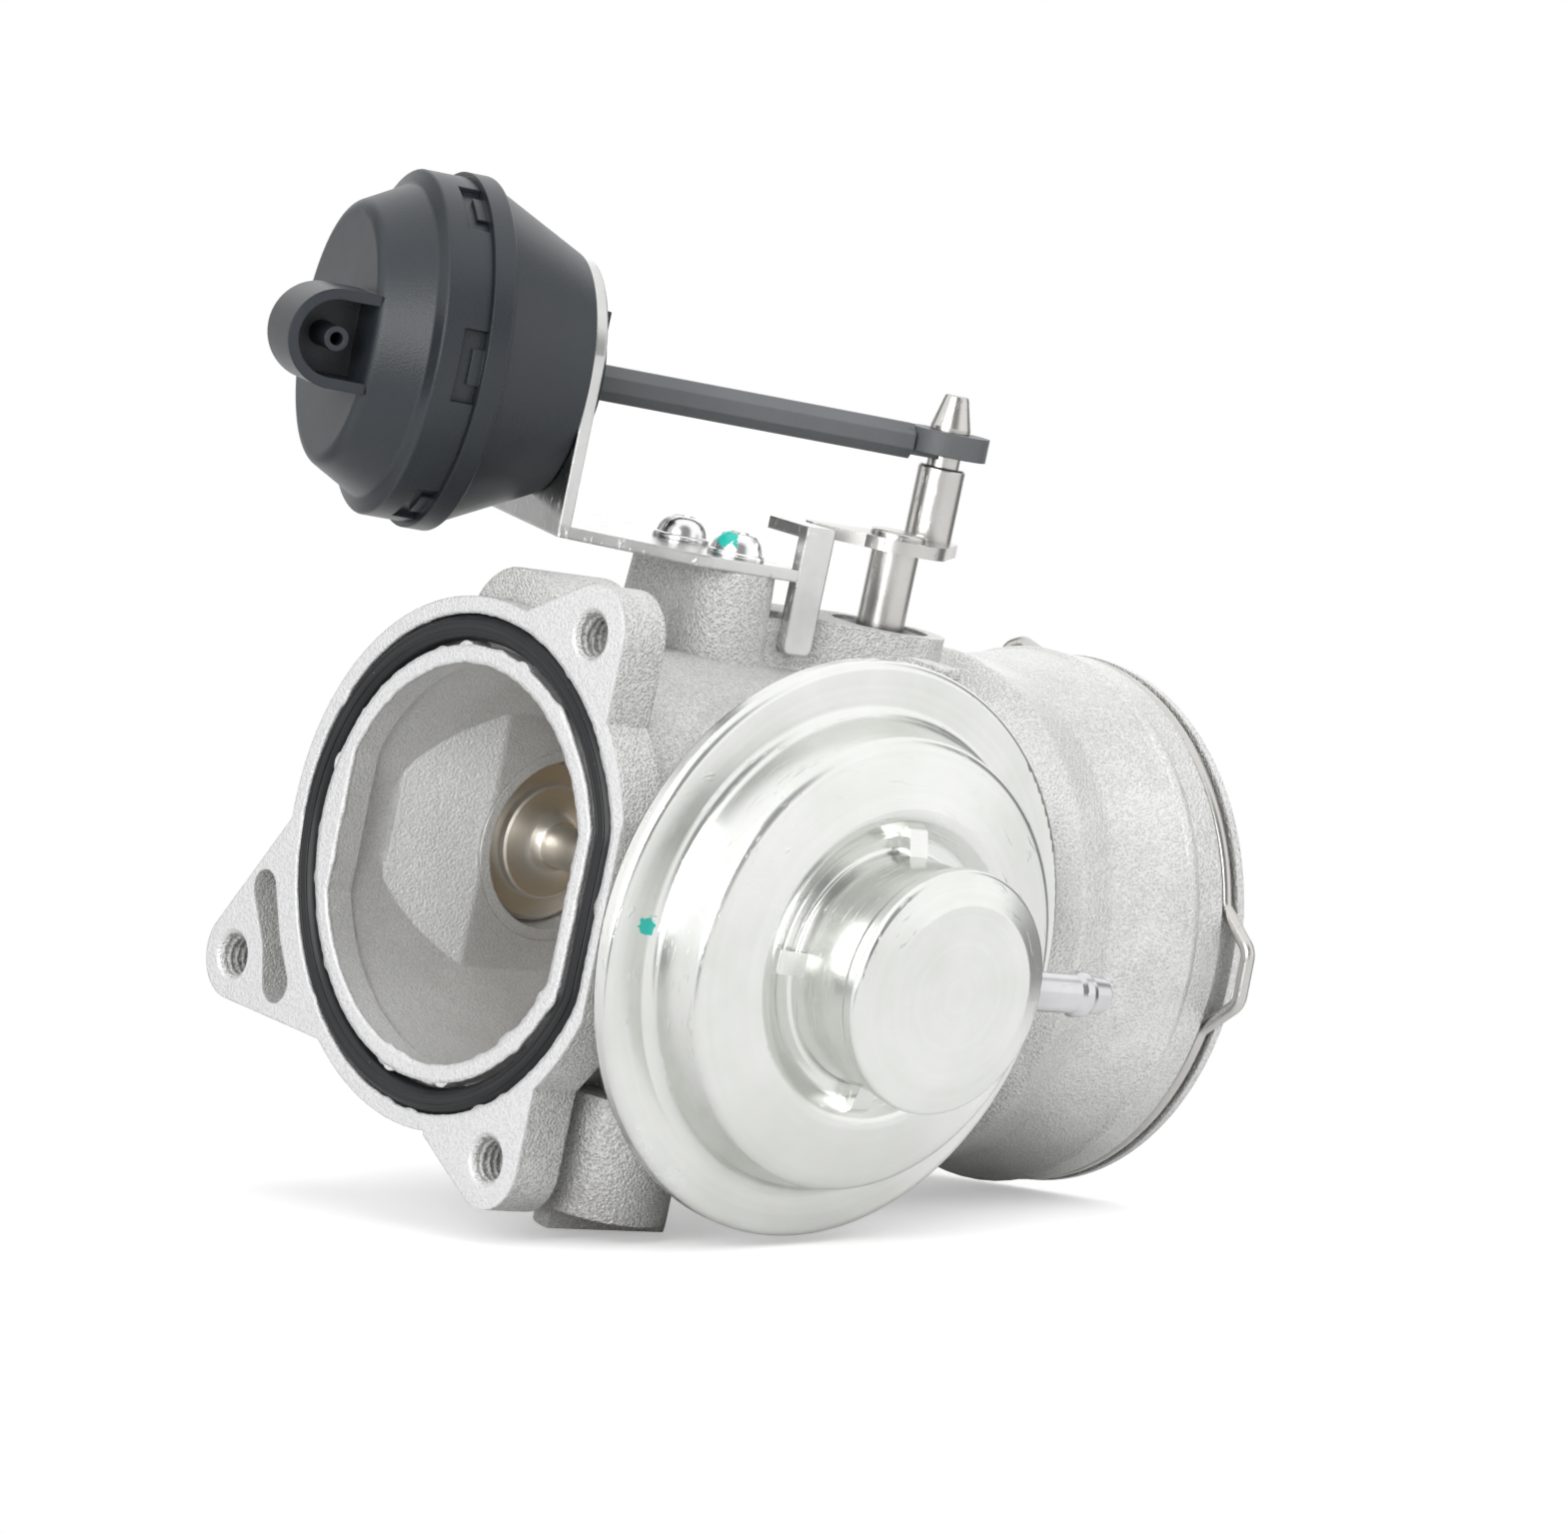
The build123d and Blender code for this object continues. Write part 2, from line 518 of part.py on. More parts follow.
# Valve and can -------------------------------------------------------------------
def egr_valve_seat():
    return PORT * turn([
        (SEAT_BORE_R, PAD_Y), (SEAT_OUTER_R, PAD_Y), (SEAT_OUTER_R, SEAT_COLLAR_Y),
        (SEAT_COLLAR_R, SEAT_COLLAR_Y), (SEAT_COLLAR_R, SEAT_END_Y), (THROAT_R, SEAT_END_Y),
        (THROAT_R, SEAT_CONE_Y),
        (SEAT_BORE_R, SEAT_CONE_Y - (SEAT_BORE_R - THROAT_R))])


def valve_poppet():
    """Head shut against the 45 degree seat, its hub towards the stem guide."""
    rim = SEAT_BORE_R - 0.35
    small = THROAT_R - 0.2
    high = SEAT_CONE_Y + 0.2 - SEAT_GAP
    low = high - (rim - small)
    return PORT * turn([
        (STEM_R + FIT, high), (small, high), (rim, low), (rim, low - POPPET_RIM_T, 0.4),
        (STEM_R + 3.0, low - POPPET_RIM_T - 0.8, 1.5), (STEM_R + 1.2, low - POPPET_RIM_T - 3.0),
        (STEM_R + FIT, low - POPPET_RIM_T - 3.0)])


def valve_stem():
    end = REAR_PLATE_D
    rivet = FRONT_PLATE_D + PLATE_T
    head = SEAT_CONE_Y
    return CAN * turn([
        (0, -head), (STEM_R - 0.4, -head), (STEM_R, -head + 0.4), (STEM_R, end), (STEM_END_R, end),
        (STEM_END_R, rivet), (RIVET_R, rivet), (RIVET_R, rivet + RIVET_H, 0.9), (0, rivet + RIVET_H)])


def stem_guide_bush():
    return CAN * ring(STEM_R + RUN, GUIDE_R, GUIDE_Y, CAN_PAD_D)


def stem_soot_shield():
    return CAN * turn([
        (STEM_R + RUN, GUIDE_Y - SHIELD_T), (GUIDE_R, GUIDE_Y - SHIELD_T, 0.8), (GUIDE_R, GUIDE_Y),
        (STEM_R + RUN, GUIDE_Y)])


def can_gasket():
    gasket = ring(GUIDE_R, GASKET_R, CAN_PAD_D, PAN_D)
    for spot in can_screw_spots():
        gasket -= spot * rod(CAN_SCREW_R + RUN, CAN_PAD_D, PAN_D)
    return CAN * gasket


def can_base_pan():
    flange = PAN_D + PAN_DEPTH
    pan = turn(sheet([
        (GUIDE_R, PAN_D), (PAN_R, PAN_D, 1.4), (PAN_MOUTH_R, flange, 0.5), (PAN_FLANGE_R, flange)], PAN_T))
    for spot in can_screw_spots():
        pan -= spot * rod(CAN_SCREW_R + RUN, PAN_D, PAN_D + PAN_T)
    return CAN * pan


def can_base_screws():
    seat = PAN_D + PAN_T
    screw = rod(CAN_SCREW_R, CAN_PAD_D - CAN_SCREW_DEPTH, seat)
    top = seat + CAN_HEAD_H
    screw += turn([(0, seat), (CAN_HEAD_R, seat), (CAN_HEAD_R, top, 0.8), (0, top)])
    return Compound([CAN * (spot * screw) for spot in can_screw_spots()])


def can_diaphragm():
    crest = COVER_D + 2.4
    return CAN * turn(sheet([
        (STEM_END_R + FIT, WEB_D), (REAR_PLATE_R + 1.0, WEB_D, 1.2), (REAR_PLATE_R + 2.6, crest, 2.0),
        (RING_TOP_R - 2.6, crest, 2.0), (RING_TOP_R - 0.6, CLAMP_D, 0.8),
        (PAN_FLANGE_R - 0.4, CLAMP_D)], DIAPHRAGM_T))


def diaphragm_rear_plate():
    end = REAR_PLATE_D
    return CAN * turn([
        (STEM_END_R + FIT, end), (REAR_PLATE_R, end, 0.3), (REAR_PLATE_R, end + PLATE_T),
        (STEM_END_R + FIT, end + PLATE_T)])


def diaphragm_front_plate():
    end = FRONT_PLATE_D
    return CAN * ring(STEM_END_R + FIT, FRONT_PLATE_R, end, end + PLATE_T)


def return_spring():
    seat = FRONT_PLATE_D + PLATE_T
    return CAN * helix_spring(SPRING_R, SPRING_WIRE_R, SPRING_TURNS, seat, CAP_D - COVER_T - CUP_T)


def spring_seat_cup():
    back = CAP_D - COVER_T
    return CAN * ring(SPRING_R - 4.0, SPRING_R + SPRING_WIRE_R - 0.6, back - CUP_T, back)


def can_cover():
    rim = COVER_D
    rear = PAN_D + PAN_DEPTH - COVER_T
    shell = turn(sheet([
        (CRIMP_R, rear), (RIM_R, rear, 0.9), (RIM_R, rim, 1.1), (RING_FOOT_R, rim, 1.6),
        (RING_TOP_R, rim + RING_H, 1.8), (CROWN_R, rim + CROWN_H, 2.0), (VALLEY_R, rim + VALLEY_H, 1.2),
        (NECK_R, rim + VALLEY_H, 0.7), (NECK_R, rim + NECK_H, 0.5), (BEAD_R, rim + NECK_H + BEAD_RISE, 0.5),
        (BEAD_R, rim + NECK_H + BEAD_RISE + BEAD_H, 0.9), (CAP_R, rim + CAP_H, 1.3),
        (0, rim + CAP_H)], COVER_T))
    valley = rim + VALLEY_H
    rib = outline([
        (NECK_R - GUSSET_SINK, valley - GUSSET_SINK), (VALLEY_R + GUSSET_REACH, valley - GUSSET_SINK),
        (VALLEY_R + GUSSET_REACH, valley + GUSSET_TIP, 0.9),
        (NECK_R - GUSSET_SINK, valley + GUSSET_RISE)])
    for spot in PolarLocations(0, GUSSETS, start_angle=90).local_locations:
        shell += spot * extrude(Plane.XZ * rib, GUSSET_W / 2, both=True)
    hole = Pos(0, 0, NIPPLE_D) * (Plane.YZ * rod(NIPPLE_R + FIT, NECK_R - 3.0, NECK_R + 2.0))
    return CAN * (shell - hole)


def can_nipple():
    inner = NECK_R - COVER_T
    tip = NECK_R + NIPPLE_LENGTH
    tube = turn([
        (NIPPLE_BORE_R, inner - 1.1), (NIPPLE_FLARE_R, inner - 1.1), (NIPPLE_FLARE_R, inner - 0.5),
        (NIPPLE_R, inner - 0.5), (NIPPLE_R, NECK_R + NIPPLE_BEAD_FROM),
        (NIPPLE_BEAD_R, NECK_R + NIPPLE_BEAD_FROM + 0.5), (NIPPLE_BEAD_R, NECK_R + NIPPLE_BEAD_TO - 0.9),
        (NIPPLE_R, NECK_R + NIPPLE_BEAD_TO), (NIPPLE_R - 0.2, tip, 0.3), (NIPPLE_BORE_R, tip)])
    return CAN * (Pos(0, 0, NIPPLE_D) * (Plane.YZ * tube))


# Flap and crank ------------------------------------------------------------------
def flap_shaft():
    low = BOSS_BOTTOM + PLUG_T + 0.3
    shaft = turn([
        (0, low), (SHAFT_R - 0.4, low), (SHAFT_R, low + 0.4), (SHAFT_R, SHAFT_TOP),
        (SHAFT_TENON_R, SHAFT_TOP),
        (SHAFT_TENON_R, LEVER_TOP), (HEAD_R, LEVER_TOP), (HEAD_R, LEVER_TOP + HEAD_H, 0.5),
        (0, LEVER_TOP + HEAD_H)])
    shaft -= Box(3 * SHAFT_R, FLAP_T + 2 * FIT, 2 * (FLAP_R + 0.2))
    shaft -= Pos(0, -SHAFT_FLAT - SHAFT_R, 0) * Box(3 * SHAFT_R, 2 * SHAFT_R, 2 * (FLAP_SCREW_Z + 4.0))
    for side in (-1, 1):
        shaft -= Pos(0, 0, side * FLAP_SCREW_Z) * (Plane.XZ * rod(FLAP_SCREW_R + FIT, -SHAFT_R, SHAFT_R))
    return SHAFT * shaft


def flap_plate():
    disc = Plane.XZ * rod(FLAP_R, -FLAP_T / 2, FLAP_T / 2)
    for side in (-1, 1):
        disc -= Pos(0, 0, side * FLAP_SCREW_Z) * (Plane.XZ * rod(FLAP_SCREW_R + FIT, -SHAFT_R, SHAFT_R))
    return SHAFT * disc


def flap_screws():
    seat = SHAFT_FLAT
    top = seat + FLAP_HEAD_H
    head = turn([(0, seat), (FLAP_HEAD_R, seat), (FLAP_HEAD_R, top, 0.8), (0, top)])
    screw = Plane.XZ * (rod(FLAP_SCREW_R, -SHAFT_R, seat) + head)
    return Compound([SHAFT * (Pos(0, 0, side * FLAP_SCREW_Z) * screw) for side in (-1, 1)])


def shaft_upper_bush():
    top = BOSS_TOP - SEAL_T
    return SHAFT * ring(SHAFT_R + RUN, BUSH_R, top - BUSH_L, top)


def shaft_lower_bush():
    low = BOSS_BOTTOM + PLUG_T
    return SHAFT * ring(SHAFT_R + RUN, BUSH_R, low, low + BUSH_L)


def shaft_seal():
    return SHAFT * turn([
        (SHAFT_R + RUN, BOSS_TOP - SEAL_T), (SEAL_R, BOSS_TOP - SEAL_T), (SEAL_R, BOSS_TOP - 0.3),
        (SHAFT_R + 1.2, BOSS_TOP - 0.3), (SHAFT_R + RUN, BOSS_TOP - 0.8)])


def shaft_end_plug():
    return SHAFT * rod(PLUG_R, BOSS_BOTTOM, BOSS_BOTTOM + PLUG_T)


def crank_lever():
    tail = math.radians(LEVER_TAIL_ANGLE)
    pin = (PIN_X, PIN_Y)
    plate = hull((SHAFT_X, 0, LEVER_HUB_R), (*pin, LEVER_EYE_R))
    plate += hull((SHAFT_X, 0, LEVER_HUB_R - 1.0),
                  (SHAFT_X + LEVER_TAIL * math.cos(tail), LEVER_TAIL * math.sin(tail), LEVER_TAIL_R))
    plate -= Pos(SHAFT_X, 0) * Circle(SHAFT_TENON_R + FIT)
    plate -= Pos(*pin) * Circle(SHAFT_TENON_R + FIT)
    return Pos(0, 0, SHAFT_TOP) * extrude(plate, LEVER_T)


def crank_pin():
    shoulder = LEVER_TOP + PIN_SHOULDER
    neck = shoulder + PIN_NECK_H
    return PIN * turn([
        (0, SHAFT_TOP - HEAD_H), (HEAD_R - 0.6, SHAFT_TOP - HEAD_H, 0.4), (HEAD_R - 0.6, SHAFT_TOP),
        (SHAFT_TENON_R, SHAFT_TOP), (SHAFT_TENON_R, LEVER_TOP), (PIN_R, LEVER_TOP), (PIN_R, shoulder, 0.4),
        (PIN_NECK_R, shoulder), (PIN_NECK_R, neck), (PIN_CONE_R, neck), (PIN_CONE_R, neck + 0.5),
        (PIN_TIP_R, neck + PIN_CONE_H, 0.3), (0, neck + PIN_CONE_H)])


# Actuator ------------------------------------------------------------------------
def window_sector(inner, outer, start, end, arc):
    """Block of a ring, arc degrees wide, centred on local +X."""
    half = math.radians(arc / 2)
    far = 1.4 * outer
    x, y = far * math.cos(half), far * math.sin(half)
    wedge = outline([(0, 0), (x, -y), (x, y)])
    return ring(inner, outer, start, end) & Pos(0, 0, start) * extrude(wedge, end - start)


def actuator_cover():
    wall = RING_R - 3.7
    shell = turn([
        (0, DOME_FACE), (DOME_FACE_R, DOME_FACE, 1.8), (DOME_BASE_R, DOME_BASE, 0.6),
        (RING_R, RING_FRONT, 0.4),
        (RING_R, JOINT_S), (ACT_RIM_R + 0.1, JOINT_S), (ACT_RIM_R + 0.1, JOINT_S - ACT_RIM_T),
        (wall, JOINT_S - ACT_RIM_T), (wall, RING_FRONT + 1.0, 0.8),
        (DOME_FACE_R - 1.6, DOME_FACE + SHELL_T, 1.0), (0, DOME_FACE + SHELL_T)])
    pocket = window_sector(RING_R - WINDOW_DEPTH, RING_R + 1.0, JOINT_S - WINDOW_W, JOINT_S, WINDOW_ARC)
    for spot in PolarLocations(0, WINDOWS, start_angle=0).local_locations:
        shell -= spot * pocket
    length = SHROUD_TO - SHROUD_FROM
    depth = DOME_FACE - SHROUD_S + 0.4
    section = Circle(SHROUD_R) + Pos(depth / 2, 0) * Rectangle(depth, 2 * SHROUD_R)
    section -= Circle(SHROUD_R - SHROUD_T) + Pos(depth / 2, 0) * Rectangle(depth, 2 * (SHROUD_R - SHROUD_T))
    section &= Pos((depth - SHROUD_R) / 2, 0) * Rectangle(depth + SHROUD_R, 3 * SHROUD_R)
    solid_end = Circle(SHROUD_R) + Pos(depth / 2, 0) * Rectangle(depth, 2 * SHROUD_R)
    side = Plane(origin=(SHROUD_FROM, 0, SHROUD_S), x_dir=(0, 0, 1), z_dir=(1, 0, 0))
    shell += side * extrude(section, length)
    shell += side * (Pos(0, 0, length - SHROUD_BACK_T) * extrude(solid_end, SHROUD_BACK_T))
    shell += side * rod(NOZZLE_R, NOZZLE_TIP, length)
    shell -= side * rod(NOZZLE_BORE_R, 0, length - SHROUD_BACK_T / 2)
    drill = Pos(SHROUD_TO - SHROUD_BACK_T / 2, 0, 0) * rod(NOZZLE_BORE_R, SHROUD_S, DOME_FACE + SHELL_T)
    return ACTUATOR * (shell - drill)


def actuator_body():
    flange_back = JOINT_S + ACT_FLANGE_T
    floor = CONE_END - SHELL_T
    lip = CONE_R - SHELL_T
    body = turn([
        (ACT_FLANGE_R, JOINT_S), (ACT_FLANGE_R, flange_back, 0.4), (CONE_R, flange_back),
        (CONE_END_R, CONE_END, 0.6),
        (0, CONE_END), (0, floor), (CONE_END_R - SHELL_T, floor, 0.8), (lip, flange_back), (lip, JOINT_S)])
    shift = Pos(HOLE_Q, 0, 0)
    body += shift * rod(NECK_TUBE_R, floor, CONE_END + NECK_TUBE_L)
    body -= shift * rod(ROD_HOLE_R, floor, CONE_END + NECK_TUBE_L)
    root = RING_R - WINDOW_DEPTH
    hook = window_sector(root + RUN, root + HOOK_T, JOINT_S - WINDOW_W / 2, JOINT_S, WINDOW_ARC / 2)
    for spot in PolarLocations(0, WINDOWS, start_angle=0).local_locations:
        body += spot * hook
    return ACTUATOR * body


def actuator_diaphragm():
    seat = PISTON_S + PISTON_T
    crest = seat + ACT_RIM_T + 1.2
    path = [
        (ROD_FLATS / 2 + 1.0, seat + ACT_RIM_T), (PISTON_R + 0.6, seat + ACT_RIM_T, 0.4),
        (PISTON_R + 0.9, crest, 0.5), (PISTON_R + 1.9, crest, 0.5), (RING_R - 4.4, JOINT_S, 0.8),
        (ACT_RIM_R, JOINT_S)]
    mirrored = [(r, -s, *rest) for r, s, *rest in path]
    profile = [(r, -s, *rest) for r, s, *rest in sheet(mirrored, ACT_RIM_T)]
    return ACTUATOR * turn(profile)


def actuator_piston():
    seat = PISTON_S + PISTON_T
    return ACTUATOR * Pos(ROD_Q, 0, 0) * turn([
        (0, seat), (PISTON_R, seat, 0.5), (PISTON_R, PISTON_S - PISTON_LIP),
        (PISTON_R - 1.0, PISTON_S - PISTON_LIP), (PISTON_R - 1.0, PISTON_S, 0.5), (0, PISTON_S)])


def actuator_spring():
    seat = DOME_FACE + SHELL_T
    return ACTUATOR * helix_spring(ACT_SPRING_R, ACT_SPRING_WIRE_R, ACT_SPRING_TURNS, seat, PISTON_S)


def actuator_rod():
    neck = PIN_S - ROD_NECK_FROM_PIN
    start = ROD_PLATE_S
    section = RegularPolygon(ROD_FLATS / 2, 8, major_radius=False, rotation=22.5)
    bar = Pos(0, 0, start) * extrude(section, neck - start)
    bar += rod(ROD_PLATE_R, start, start + ROD_PLATE_T)
    bar += Pos(0, 0, (neck + PIN_S) / 2 - 1.0) * Box(ROD_NECK_W, ROD_NECK_W, ROD_NECK_FROM_PIN)
    low = ACT_Z - EYE_BELOW
    rod_solid = ACTUATOR * (Pos(ROD_Q, 0, 0) * bar)
    rod_solid += PIN * rod(EYE_R, low, low + EYE_T)
    return rod_solid - PIN * rod(PIN_NECK_R + RUN, low - 2.0, low + EYE_T + 2.0)


def actuator_retainer():
    start = CONE_END + SHEET_T
    collar = Pos(HOLE_Q, 0, 0) * ring(NECK_TUBE_R + FIT, RETAINER_R, start, start + RETAINER_T)
    tab = Pos(TAB_Q, TAB_H - TAB_ROOT / 2, start + RETAINER_T / 2) * Box(TAB_W, TAB_ROOT, RETAINER_T)
    return ACTUATOR * (collar + tab)


def actuator_bracket():
    drop = ACT_Z - BASE_BOTTOM
    face = Circle(BRACKET_TOP_R) & Rectangle(2 * BRACKET_HALF_W, 2 * BRACKET_TOP_R)
    face += Pos(0, -drop / 2) * Rectangle(2 * BRACKET_HALF_W, drop)
    face -= Pos(HOLE_Q, 0) * Circle(NECK_TUBE_R + FIT)
    plate = ACTUATOR * (Pos(0, 0, CONE_END) * extrude(face, SHEET_T))
    start = Vector(ACT_X, ACT_Y) + Vector(*ALONG) * CONE_END
    near = start - Vector(*ACROSS) * BRACKET_HALF_W
    far = start + Vector(*ACROSS) * BRACKET_HALF_W
    base = outline([
        (near.X, near.Y), (*BASE_CORNER, 4.0), (STRIP_FROM + 0.5, STRIP_Y, 0.6),
        (STRIP_FROM + 0.5, BASE_NOTCH_Y, 2.0), (*BASE_BACK, 4.0), (far.X + BASE_RUN, far.Y, 3.0),
        (far.X, far.Y)])
    for x, y in BASE_SCREWS:
        base -= Pos(x, y) * Circle(BASE_SCREW_R + 0.25)
    solid = plate + Pos(0, 0, BASE_BOTTOM) * extrude(base, SHEET_T)
    strip = outline([
        (STRIP_FROM, STRIP_BOTTOM, 1.0), (STRIP_TO, STRIP_BOTTOM, 1.0), (STRIP_TO, STRIP_TOP),
        (STRIP_FROM, STRIP_TOP)])
    solid += Pos(0, STRIP_Y + SHEET_T, 0) * extrude(Plane.XZ * strip, SHEET_T)
    width = STRIP_TO - STRIP_FROM
    reach = STRIP_TAB + SHEET_T
    tab = Pos(STRIP_FROM + width / 2, STRIP_Y + reach / 2, STRIP_TOP - SHEET_T / 2)
    return solid + tab * Box(width, reach, SHEET_T)


def bracket_screws():
    screw = rod(BASE_SCREW_R, BASE_BOTTOM - BASE_SCREW_DEPTH, BASE_TOP)
    top = BASE_TOP + BASE_HEAD_H
    screw += turn([(0, BASE_TOP), (BASE_HEAD_R, BASE_TOP), (BASE_HEAD_R, top, 1.2), (0, top)])
    return Compound([Pos(x, y) * screw for x, y in BASE_SCREWS])


NODES = (
    housing_casting, manifold_o_ring, socket_clip, egr_valve_seat, valve_poppet, valve_stem, stem_guide_bush,
    stem_soot_shield, can_gasket, can_base_pan, can_base_screws, can_diaphragm, diaphragm_rear_plate,
    diaphragm_front_plate, return_spring, spring_seat_cup, can_cover, can_nipple, flap_shaft,
    flap_plate, flap_screws,
    shaft_upper_bush, shaft_lower_bush, shaft_seal, shaft_end_plug, crank_lever, crank_pin, actuator_cover,
    actuator_body, actuator_diaphragm, actuator_piston, actuator_spring, actuator_rod, actuator_retainer,
    actuator_bracket, bracket_screws)


def main():
    os.makedirs("parts", exist_ok=True)
    for make in NODES:
        export_step(make(), f"parts/{make.__name__}.step")


main()
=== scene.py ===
import logging
import math
from dataclasses import dataclass, field
from enum import Enum

import bmesh
import bpy
from mathutils import Matrix, Vector
from mathutils import noise as blender_noise

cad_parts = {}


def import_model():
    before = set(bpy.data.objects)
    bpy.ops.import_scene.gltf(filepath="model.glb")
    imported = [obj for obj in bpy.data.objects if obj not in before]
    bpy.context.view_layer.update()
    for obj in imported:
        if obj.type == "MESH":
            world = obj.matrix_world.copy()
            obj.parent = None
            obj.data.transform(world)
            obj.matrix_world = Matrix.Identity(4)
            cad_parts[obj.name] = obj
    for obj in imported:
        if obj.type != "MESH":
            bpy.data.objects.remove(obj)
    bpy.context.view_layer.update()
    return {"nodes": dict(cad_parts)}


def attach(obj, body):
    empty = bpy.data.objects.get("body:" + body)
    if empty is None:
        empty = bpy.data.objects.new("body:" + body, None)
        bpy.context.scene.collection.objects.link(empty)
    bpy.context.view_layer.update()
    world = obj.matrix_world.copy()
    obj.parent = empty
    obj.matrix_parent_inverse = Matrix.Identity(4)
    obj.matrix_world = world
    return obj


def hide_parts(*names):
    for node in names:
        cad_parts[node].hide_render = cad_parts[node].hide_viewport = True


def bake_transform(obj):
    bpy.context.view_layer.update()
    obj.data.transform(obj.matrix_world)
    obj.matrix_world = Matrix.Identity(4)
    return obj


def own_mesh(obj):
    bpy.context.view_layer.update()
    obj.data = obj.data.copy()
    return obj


LOG = logging.getLogger("egr_valve")

Material = bpy.types.Material
Node = bpy.types.Node
Socket = bpy.types.NodeSocket
Thing = bpy.types.Object
Tree = bpy.types.NodeTree
Source = Socket | float | tuple | Vector

MM = 0.001
ALONG_X = Vector((1.0, 0.0, 0.0))
ALONG_Y = Vector((0.0, 1.0, 0.0))
ALONG_Z = Vector((0.0, 0.0, 1.0))
VALVE_AXIS = (31.63, 0.09)  # X and Z of the can, the stem and the head, in millimetres

# Sockets of the Mix node, whose names repeat: the factor, the two ends and the result.
FLOAT_INPUTS = (0, 2, 3)
FLOAT_OUTPUT = 0
COLOUR_INPUTS = (0, 6, 7)
COLOUR_OUTPUT = 2


# ---------------------------------------------------------------- node helpers
def add_node(tree: Tree, kind: str, **settings: object) -> Node:
    """Add a node and set its plain properties.

    Args:
        tree: tree to add to.
        kind: Blender's node type name.
        settings: properties of the node.

    Returns:
        The new node.
    """
    node = tree.nodes.new(kind)
    for name, value in settings.items():
        setattr(node, name, value)
    return node


def feed(tree: Tree, target: Socket, source: Source) -> None:
    """Link a socket, or set its value.

    Args:
        tree: tree that holds both sockets.
        target: input to feed.
        source: an output socket, or a plain value.
    """
    if isinstance(source, Socket):
        tree.links.new(source, target)
    else:
        target.default_value = source


def object_place(tree: Tree) -> Socket:
    """Place on the piece, in metres of the shared frame."""
    return add_node(tree, "ShaderNodeTexCoord").outputs["Object"]


def split_place(tree: Tree) -> Node:
    """Node with the place on the piece as the outputs X, Y and Z.

    Args:
        tree: tree to add to.

    Returns:
        The node.
    """
    node = add_node(tree, "ShaderNodeSeparateXYZ")
    feed(tree, node.inputs[0], object_place(tree))
    return node


def noise(tree: Tree, vector: Source, scale: Source, detail: float = 3.0, rough: float = 0.5,
          stretch: tuple[float, float, float] | None = None) -> Socket:
    """Noise value at a place.

    Args:
        tree: tree to add to.
        vector: socket with the place.
        scale: size of the noise, in waves per metre.
        detail: octaves.
        rough: weight of the finer octaves.
        stretch: factors along the axes, or None.

    Returns:
        The value socket.
    """
    if stretch:
        mapping = add_node(tree, "ShaderNodeMapping")
        mapping.inputs["Scale"].default_value = stretch
        feed(tree, mapping.inputs["Vector"], vector)
        vector = mapping.outputs["Vector"]
    node = add_node(tree, "ShaderNodeTexNoise")
    feed(tree, node.inputs["Vector"], vector)
    feed(tree, node.inputs["Scale"], scale)
    feed(tree, node.inputs["Detail"], detail)
    feed(tree, node.inputs["Roughness"], rough)
    return node.outputs["Fac"]


def math_node(tree: Tree, operation: str, a: Source, b: Source, clamp: bool = False) -> Socket:
    """Result of one arithmetic step.

    Args:
        tree: tree to add to.
        operation: Blender's name of the step.
        a: first value or socket.
        b: second value or socket.
        clamp: keep the result from 0 to 1.

    Returns:
        The value socket.
    """
    node = add_node(tree, "ShaderNodeMath", operation=operation, use_clamp=clamp)
    feed(tree, node.inputs[0], a)
    feed(tree, node.inputs[1], b)
    return node.outputs[0]


def vector_node(tree: Tree, operation: str, a: Source, b: Source | None = None) -> Socket:
    """Result of one step of vector arithmetic.

    Args:
        tree: tree to add to.
        operation: Blender's name of the step.
        a: first vector or socket.
        b: second vector or socket, or None for a step that takes one.

    Returns:
        The value socket of a length, a distance or a dot product, else the vector socket.
    """
    node = add_node(tree, "ShaderNodeVectorMath", operation=operation)
    feed(tree, node.inputs[0], a)
    if b is not None:
        feed(tree, node.inputs[1], b)
    single = operation in ("LENGTH", "DISTANCE", "DOT_PRODUCT")
    return node.outputs["Value" if single else "Vector"]


def remap(tree: Tree, value: Source, low: float, high: float,
          to_low: float = 0.0, to_high: float = 1.0) -> Socket:
    """Stretch one range of a value onto another, clamped.

    Args:
        tree: tree to add to.
        value: socket to stretch.
        low: input that gives to_low.
        high: input that gives to_high.
        to_low: result at low.
        to_high: result at high.

    Returns:
        The value socket.
    """
    node = add_node(tree, "ShaderNodeMapRange")
    feed(tree, node.inputs["Value"], value)
    ends = (("From Min", low), ("From Max", high), ("To Min", to_low), ("To Max", to_high))
    for name, number in ends:
        feed(tree, node.inputs[name], number)
    return node.outputs["Result"]


def mix_colour(tree: Tree, factor: Source, a: Source, b: Source) -> Socket:
    """Blend of two colours.

    Args:
        tree: tree to add to.
        factor: share of the second colour.
        a: first colour, as a socket or RGBA.
        b: second colour, as a socket or RGBA.

    Returns:
        The colour socket.
    """
    node = add_node(tree, "ShaderNodeMix", data_type="RGBA")
    for slot, value in zip(COLOUR_INPUTS, (factor, a, b)):
        feed(tree, node.inputs[slot], value)
    return node.outputs[COLOUR_OUTPUT]


def mix_value(tree: Tree, factor: Source, a: Source, b: Source) -> Socket:
    """Blend of two values.

    Args:
        tree: tree to add to.
        factor: share of the second value.
        a: first value or socket.
        b: second value or socket.

    Returns:
        The value socket.
    """
    node = add_node(tree, "ShaderNodeMix", data_type="FLOAT")
    for slot, value in zip(FLOAT_INPUTS, (factor, a, b)):
        feed(tree, node.inputs[slot], value)
    return node.outputs[FLOAT_OUTPUT]


